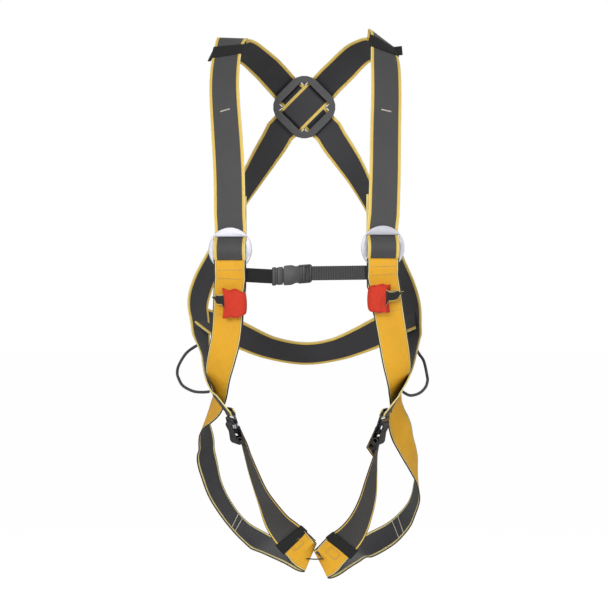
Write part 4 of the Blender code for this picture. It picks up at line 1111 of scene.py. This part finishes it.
# %% Sternal loop helpers
STERNAL = {  # a place on the leg strap's middle line, and how it faces there
    -1: ((-0.107, -0.2197, -0.295), -13, -4),
    1: ((0.1178, -0.2196, -0.288), 13, -4),
}
LOOP_BEND = 0.0075
LOOP_OUTER = 0.0214  # from the strap's middle to the loop's sewn side
LOOP_INNER = 0.025  # and to its far side
LOOP_SEAT = 0.0012  # from the strap to the sleeve
LOOP_STEP = 0.0015  # from one station of a loop to the next
HALF_TURN = 13  # stations round each end of a loop
SLEEVE_WALL = 0.001
SLEEVE_HALF = LOOP_HEIGHT / 2 + FIT + SLEEVE_WALL
LOOP_DEPTH = 2 * (LOOP_BEND + WEB_THICK)  # how far a loop stands out from its strap


def reshape(bm, place, change):
    """Moves every vertex by a function of its position in a frame."""
    back = place.inverted()
    for vert in bm.verts:
        vert.co = place @ Vector(change(*(back @ vert.co)))


def smooth(value, low, high):
    """0 below low, 1 above high, and a soft turn between them."""
    share = min(max((value - low) / (high - low), 0.0), 1.0)
    return share * share * (3 - 2 * share)


def loop_stations(place, near, far, hub_y):
    """Round both ends of a flat loop, in a frame whose Z runs across the strap."""
    low, high = sorted((near, far))
    stations = []
    for centre, start in ((high, 0), (low, 180)):
        for step in range(HALF_TURN):
            angle = math.radians(start + 180 / (HALF_TURN - 1) * step)
            normal = place.to_3x3() @ Vector((0, math.cos(angle), math.sin(angle)))
            stations.append((place @ Vector((0, hub_y, centre)) + normal * LOOP_BEND, normal))
    return stations


# %% [markdown]
# Each of these makes a function of a point on the loop: x across the strap, y into it and z up. One
# narrows and twists the loop's webbing where it leaves the sleeve. The other gathers the sleeve's
# cloth. A height goes from -1 to 1, a span and a share from 0 to 1, and the rest are metres.

# %% How a loop and its sleeve are shaped
LOOP_SHAPES = {  # where the sleeve begins, its mouth, the hole's end, the rise there, the sleeve's lean
    "left": (0.0085, 0.0082, 0.0125, 0.0056, 0.0055),
    "right": (0.0035, 0.0002, 0.0105, 0.0036, 0.0098),
}
LOOP_END_RISE = 0.0085  # how far the loop's webbing has risen at the strap's edge


def pinched(side, mouth, hole_end, rise):
    """The loop's webbing is narrow and twisted where it leaves the sleeve for the strap's edge."""
    def change(x, y, z):
        along = side * x
        inside = smooth(along, mouth - 0.012, mouth - 0.003)
        tapered = smooth(along, hole_end - 0.001, hole_end + 0.004)
        share = smooth(along, mouth, LOOP_OUTER)
        half = 0.9 - 0.54 * inside - 0.28 * tapered
        lean = rise * inside + (LOOP_END_RISE - rise) * share
        return (x, y * (1 - 0.5 * share) - 0.0006 * share, z * half + lean)

    return change


def gathered(side, open_x, most_lean):
    """A soft tube of cloth: wavy edges, round corners, a bulge, and a notch at its open side."""
    def change(x, y, z):
        height = z / SLEEVE_HALF
        span = (x - open_x) / (-side * LOOP_INNER - open_x)  # 0 at the open side, 1 at the closed one
        front = -y / LOOP_DEPTH
        wave = 0.0013 * math.cos(span * 12.5 + 0.6 + side) * (1 if height > 0 else 0.55)
        corner = -0.0055 * max(span - 0.6, 0.0) ** 2 / 0.16
        flare = 0.0010 * max(0.35 - span, 0.0) / 0.35
        tall = z + height * abs(height) * (wave + corner + flare)
        notch = -side * 0.0022 * (1 - height**2) ** 2 * max(1 - span * 3, 0.0)
        point = side * 0.0006 * height**6 * max(1 - span * 4, 0.0)
        closed = -side * 0.0018 * (1 - height**2) * max(span - 0.6, 0.0) / 0.4
        ripple = noise.noise(Vector((x * 120, z * 70, side * 4 + y * 60))) * 0.0014
        arch = math.sin(min(max(span, 0.0), 1.0) * math.pi)
        bulge = 0.0034 * (1 - height**2) * arch - 0.0012 * height**4
        lean = -side * most_lean * min(max(front, 0.0), 1.2)
        return (x + notch + point + closed + lean, y - (bulge + ripple) * max(front, 0.0), tall)

    return change


print("a loop stands", LOOP_DEPTH, "m out of its strap")

# %% Sternal loops and red sleeves
sleeve_half = WEB_THICK / 2 + FIT + SLEEVE_WALL
hub_y = -(WEB_THICK / 2 + LOOP_SEAT + sleeve_half + LOOP_BEND)
for word, side in (("left", -1), ("right", 1)):
    sleeve_start, mouth, hole_end, rise, most_lean = LOOP_SHAPES[word]
    body = f"sternal_loop_{word[0]}"
    flat = frame_at(*STERNAL[side])  # on the leg strap's outer face, with Z up and X across the strap
    across = flat @ Matrix.Rotation(math.radians(90), 4, "Y")
    near = side * (LOOP_OUTER - WEB_THICK / 2 - LOOP_BEND)
    far = -side * (LOOP_INNER - sleeve_half - LOOP_BEND)
    stations = loop_stations(across, near, far, hub_y)
    dense = fine(stations + stations[:1], LOOP_STEP)[:-1]
    loop = Ribbon(dense, width=LOOP_HEIGHT, closed=True)
    bm = sweep(loop.frames, slab(LOOP_HEIGHT, WEB_THICK), closed=True)
    reshape(bm, flat, pinched(side, mouth, hole_end, rise))
    shown(f"sternal_webbing_{word}", bm, loop_webbing, body, (f"sternal_loop_{word}",), "black_webbing")

    open_x = side * sleeve_start
    turn = stations[:HALF_TURN] if far == max(near, far) else stations[HALF_TURN:]
    ends = []
    for station in (turn[0], turn[-1]):
        local = flat.inverted() @ station[0]
        ends.append((flat @ Vector((open_x, local.y, local.z)), station[1]))
    covered = stretched(ends[0], turn[0], 10) + turn[:-1] + stretched(turn[-1], ends[1], 10) + [ends[1]]
    section = slab(2 * SLEEVE_HALF, WEB_THICK + 2 * (FIT + SLEEVE_WALL), across=28)
    bm = sweep(section_frames(spaced(covered, 0.0012)), section)
    reshape(bm, flat, gathered(side, open_x, most_lean))
    shown(f"red_sleeve_{word}", bm, red_cloth, body, (f"sternal_loop_sleeve_{word}",), "red_sleeve")
    print("sternal loop", word, "made of", len(dense), "stations")

# %% [markdown]
# ## Chest strap
# The left half is plain and sewn round the plug. The right half is ribbed elastic that runs through
# the socket's ladder, so it can be pulled tight, and it puckers next to the buckle. Both are sewn
# behind the leg straps.

# %% Chest strap halves
CHEST_WIDTH = 0.020
PLUG_X = -0.044  # outer face of the plug's bar
LADDER_X = 0.010  # outer face of the ladder's outer bar
LADDER_BAR = 0.003  # how thick these bars are
MIDDLE_BAR_X = 0.0032  # between the ladder's two bars
CHEST_TAIL = (-0.0052, 0.086, 0)  # end of the loose tail: y, z and no bar
FOLD_END_X = -0.066  # end of the layer that is folded back round the plug
BEHIND_END = 0.016  # where a half ends behind its leg strap, from the strap's middle line
BEHIND_EDGE = 0.024  # and where it comes out, on the other side of that line
CHEST_BEHIND = 0.0056  # middle of the chest webbing behind the adjuster's middle plane


def behind_leg_strap(side, x):
    """A place behind both layers of a leg strap, as y and z of the chest frame."""
    point = adjuster_frame(side) @ Vector((x, CHEST_BEHIND, 0))
    return (point.y - CHEST_Y, point.x, 0)


def puckers(across, along, face):
    """Ribs across the strap, and the small wrinkles of gathered elastic."""
    rib = math.sin(along * math.tau / RIB_PITCH) * 0.00018
    gather = noise.noise(Vector((along * 240, across * 60, 2.0))) * 0.0005
    return (0.0, rib + gather * 0.6)


def chest_half(name, rounds, outer, step, finish, shape=None):
    """One half of the chest strap, drawn through its bars and then hung."""
    frame = frame_at((0, CHEST_Y, CHEST_Z), roll=90)  # Y to the wearer and Z to +X
    hung = [(settled(point), normal) for point, normal in fine(belt(frame, rounds, outer), step)]
    half = Ribbon(hung, width=CHEST_WIDTH)
    node = f"chest_strap_{name}"
    half.build(f"chest_webbing_{name}", finish, shape=shape, stands_for=(node,), slot="black_webbing")
    print("chest strap", name, round(half.length, 3), "m long")


bar = LADDER_BAR / 2
past = bar + LAP + FIT
left_rounds = [
    behind_leg_strap(-1, -BEHIND_END),
    behind_leg_strap(-1, BEHIND_EDGE),
    (-past, FOLD_END_X, 0),
    (0, PLUG_X + bar, past),
    (past - 0.0006, FOLD_END_X, 0),
]
chest_half("left", left_rounds, 1, 0.006, black_webbing)
past = bar + LAP
tail_y = 0.0008 - past  # the tail lies on the layer that goes to the ladder
right_rounds = [
    behind_leg_strap(1, BEHIND_END),
    behind_leg_strap(1, -BEHIND_EDGE),
    (0, LADDER_X - bar, -past),
    (0, MIDDLE_BAR_X, -past),
    (0, LADDER_X - bar, -past),
    (tail_y, 0.030, 0),
    (tail_y, 0.060, 0),
    CHEST_TAIL,
]
chest_half("right", right_rounds, -1, 0.0009, ribbed_strap, puckers)

# %% [markdown]
# ## Gear loops
# A braided cord is a tube whose strands cross. The cord is swept like a ribbon, with a round section,
# so the same attribute gives the braid its two directions. Its ends are sewn to the hip strap, and
# the points between them say how the loop hangs. An end is given as a station of the hip strap and
# how far it is from the webbing's middle line.

# %% Gear loops
GEAR_CORD_RADIUS = 0.0021
CORD_SIDES = 14
STRANDS = 4  # each way round
STRAND_PITCH = 0.005  # along the cord, from one strand to the next that winds the same way
END_STEPS = 4  # stations to a row of the hip strap, for counting where an end is
GEAR_LEFT = [
    (-166, -110, -363), (-174, -114, -371), (-182, -120, -385),
    (-184, -128, -395), (-182, -136, -403), (-175, -146, -414),
    (-160, -166, -421), (-147, -173, -422.5),
]
GEAR_RIGHT = [
    (168, -104, -370), (174, -114, -380), (178, -128, -401),
    (178, -136, -408), (174, -148, -417), (164, -166, -424.5),
    (151, -175, -427),
]
GEAR_ENDS_LEFT = ((0, 0.0), (12, 0.0))
GEAR_ENDS_RIGHT = ((2, -0.008), (12, 0.0))


def braid_finish(name, colour, radius):
    made = Finish(name, roughness=0.8)
    across, along, face = weave_values(made)
    turn = made.add("ShaderNodeMath", {"operation": "ARCTAN2"}, (face - 0.5, across / radius / 2)) / math.tau
    one, other = ((turn * STRANDS + along * (way / STRAND_PITCH)).hump() for way in (1.0, -1.0))
    height = one.math("MAXIMUM", other)
    # The strands' height darkens the gaps between them in the colour: painted shade.
    made.feed(base_color=made.shaded(colour, 0.6 + height * 0.5))
    made.bump(height, 0.0003)
    return made.material


cord_braid = braid_finish("braided cord", tone(62, 62, 64), GEAR_CORD_RADIUS)
turns = [math.tau * step / CORD_SIDES for step in range(CORD_SIDES)]
section = [(GEAR_CORD_RADIUS * math.cos(turn), GEAR_CORD_RADIUS * math.sin(turn)) for turn in turns]
lift = WEB_THICK / 2 + 2 * FIT + GEAR_CORD_RADIUS
for word, hip, between, ends in (
    ("left", HIP_LEFT, GEAR_LEFT, GEAR_ENDS_LEFT),
    ("right", HIP_RIGHT, GEAR_RIGHT, GEAR_ENDS_RIGHT),
):
    places = section_frames(route(hip, END_STEPS))
    first, last = (places[index] @ Vector((x, lift, 0)) for index, x in ends)
    points = [first, *(Vector([x / 1000 for x in point]) for point in between), last]
    side = (points[-1] - points[0]).cross(points[len(points) // 2] - points[0]).normalized()
    stations = [
        (curve_point(points, span, step / ROUTE_STEPS), side)
        for span in range(len(points) - 1)
        for step in range(ROUTE_STEPS)
    ]
    bm = sweep(section_frames(stations + [(points[-1], side)]), section)
    body = f"gear_loop_{word[0]}"
    shown(f"gear_cord_{word}", bm, cord_braid, body, (f"gear_loop_{word}",), "black_webbing")
    print("gear loop", word, "hangs between", len(points), "points")

# %% [markdown]
# ## Stitching
# Every sewn joint shows its thread. A stitch is a tiny flattened bead that lies on the webbing's face,
# and it comes from an icosphere with few faces, because there are hundreds.

# %% Stitches in a row
class Sewing:
    """Stitches that are gathered into one piece."""

    def __init__(self, name, finish):
        self.name = name
        self.finish = finish
        self.bm = bmesh.new()
        self.count = 0

    def stitch(self, place, length=0.0028, turn=0.0, radius=0.00038):
        made = bmesh.ops.create_icosphere(self.bm, subdivisions=1, radius=1.0)["verts"]
        size = Matrix.Diagonal((radius, radius * 0.8, length / 2, 1.0))
        spin = Matrix.Rotation(math.radians(turn), 4, "Y")
        bmesh.ops.transform(self.bm, matrix=place @ spin @ size, verts=made)
        self.count += 1

    def row(self, ribbon, start, end, pitch=0.0036, face=1, **words):
        """A row of stitches between two places on a ribbon, each given as along and across."""
        (along0, across0), (along1, across1) = start, end
        length = math.hypot(along1 - along0, across1 - across0)
        turn = math.degrees(math.atan2(across1 - across0, along1 - along0))
        count = max(1, round(length / pitch))
        for index in range(count):
            share = (index + 0.5) / count
            along = along0 + (along1 - along0) * share
            across = across0 + (across1 - across0) * share
            place = ribbon.at(along, across, face * (ribbon.thick / 2 + 0.0006))
            self.stitch(place, turn=turn, **words)

    def done(self):
        shown(self.name, self.bm, self.finish)
        print(self.name, "has", self.count, "stitches")


# %% Sewn places
TAIL_LENGTH = 0.16  # the tail and the turns in the adjuster, before the shoulder strap goes up
SEWN_ROWS = {  # heights of the four rows across each leg strap
    "left": (-0.249, -0.261, -0.300, -0.312),
    "right": (-0.244, -0.255, -0.296, -0.307),
}
THIGH_TACKS = {"left": (-0.619, -0.6255), "right": (-0.632, -0.624)}  # heights of the two pale seams
ROW_HALF = 0.018  # half the length of a row across a leg strap
SEAM_HALF = 0.019  # and of a pale seam
PATCH_HALF = 0.0085  # half the width of the stitched rectangle at a leg strap's end
PATCH_ENDS = (0.016, 0.004)  # and how far from the end it starts and stops
PATCH_PITCH = 0.003
BARTACK_HEIGHT = {"left": -0.0215, "right": -0.027}  # of the bartack on each shoulder strap
BARTACK_STITCHES = 12
BARTACK_PITCH = 0.0012
BARTACK_SLOPE = {"left": -0.1, "right": 0.1}
for word in ("left", "right"):
    leg = legs[word]
    sewn = Sewing(f"leg_stitching_{word}", grey_thread)
    for height in SEWN_ROWS[word]:
        along = leg.reach(height)
        sewn.row(leg, (along, -ROW_HALF), (along, ROW_HALF))
    near, far = (leg.length - gap for gap in PATCH_ENDS)
    for across in (-PATCH_HALF, PATCH_HALF):
        sewn.row(leg, (near, across), (far, across), pitch=PATCH_PITCH)
    for along in (near, far):
        sewn.row(leg, (along, -PATCH_HALF), (along, PATCH_HALF), pitch=PATCH_PITCH)
    sewn.done()

    tacks = Sewing(f"thigh_tacks_{word}", pale_thread)
    for height in THIGH_TACKS[word]:
        along = leg.reach(height)
        tacks.row(leg, (along, -SEAM_HALF), (along, SEAM_HALF), pitch=0.0022, face=-1, radius=0.0009)
    tacks.done()

    front = shoulders[word]
    tack = Sewing(f"shoulder_bartack_{word}", pale_thread)
    along = next(
        mark for mark, frame in zip(front.marks, front.frames)
        if mark > TAIL_LENGTH and frame.translation.z > BARTACK_HEIGHT[word]
    )
    for step in range(BARTACK_STITCHES):
        across = (step - (BARTACK_STITCHES - 1) / 2) * BARTACK_PITCH
        place = front.at(along + across * BARTACK_SLOPE[word], across, WEB_THICK / 2 + 0.0001)
        tack.stitch(place, length=0.0026, turn=8 * (-1) ** step, radius=0.0007)
    tack.done()

# %% [markdown]
# ## Camera, light and floor
# The camera is level and far away, with a long lens, so the straps keep their widths. The light is a
# plain soft studio: a bright surround and three large lamps.

# %% Camera
camera_data = bpy.data.cameras.new("camera")
camera_data.lens = 134.0
camera_data.sensor_width = 36.0
camera_data.clip_end = 100.0
camera = bpy.data.objects.new("camera", camera_data)
camera.location = (-0.0004, -3.406, -0.2965)
camera.rotation_euler = (math.radians(90), 0, 0)
bpy.context.collection.objects.link(camera)
bpy.context.scene.camera = camera

# %% Lamps
def lamp(name, location, size, power):
    data = bpy.data.lights.new(name, "AREA")
    data.shape = "DISK"
    data.size = size
    data.energy = power
    made = bpy.data.objects.new(name, data)
    made.location = location
    aim = Vector((0, -0.11, -0.3)) - Vector(location)
    made.rotation_euler = aim.to_track_quat("-Z", "Y").to_euler()
    bpy.context.collection.objects.link(made)
    print("lamp", name, "has", power, "W")


lamp("key", (-1.0, -3.1, 0.45), 1.3, 54)
lamp("fill", (2.0, -2.2, 0.2), 1.4, 20)
lamp("back", (0.6, 2.4, 1.4), 1.8, 22)

# %% Surround
world = bpy.data.worlds.new("studio")
bpy.context.scene.world = world
world.use_nodes = True
tree = world.node_tree
rays = tree.nodes.new("ShaderNodeLightPath")
seen = tree.nodes.new("ShaderNodeMath")
seen.operation = "MAXIMUM"
tree.links.new(rays.outputs["Is Camera Ray"], seen.inputs[0])
clear = tree.nodes.new("ShaderNodeMath")
clear.operation = "MAXIMUM"
tree.links.new(rays.outputs["Is Transmission Ray"], clear.inputs[0])
tree.links.new(rays.outputs["Is Glossy Ray"], clear.inputs[1])
tree.links.new(clear.outputs[0], seen.inputs[1])
strength = tree.nodes.new("ShaderNodeMapRange")
strength.inputs["To Min"].default_value = 0.36
strength.inputs["To Max"].default_value = 1.0
tree.links.new(seen.outputs[0], strength.inputs["Value"])
tree.links.new(strength.outputs[0], tree.nodes["Background"].inputs["Strength"])
tree.nodes["Background"].inputs["Color"].default_value = (1.0, 1.0, 1.0, 1.0)

# %% Floor
FLOOR_Z = -1.0
bm = bmesh.new()
bmesh.ops.create_grid(bm, x_segments=1, y_segments=1, size=30.0)
bmesh.ops.translate(bm, vec=(0, 0, FLOOR_Z), verts=bm.verts[:])
floor_mesh = bpy.data.meshes.new("floor")
bm.to_mesh(floor_mesh)
bm.free()
floor = bpy.data.objects.new("floor", floor_mesh)
bpy.context.collection.objects.link(floor)
floor_finish = Finish("pale floor", roughness=0.9)
floor_finish.shader.inputs["Base Color"].default_value = (0.85, 0.85, 0.85, 1.0)
rays = floor_finish.add("ShaderNodeLightPath", {}, {}, out="Is Camera Ray")
glow = floor_finish.add("ShaderNodeEmission", {}, {"Color": (1.0, 1.0, 1.0, 1.0), "Strength": 1.06})
mix = floor_finish.add(
    "ShaderNodeMixShader", {}, (rays * 0.9, Value(floor_finish, floor_finish.shader.outputs[0]), glow)
)
output = floor_finish.tree.nodes["Material Output"]
floor_finish.tree.links.new(mix.socket, output.inputs["Surface"])
floor_mesh.materials.append(floor_finish.material)
bpy.context.scene.view_settings.view_transform = "Standard"
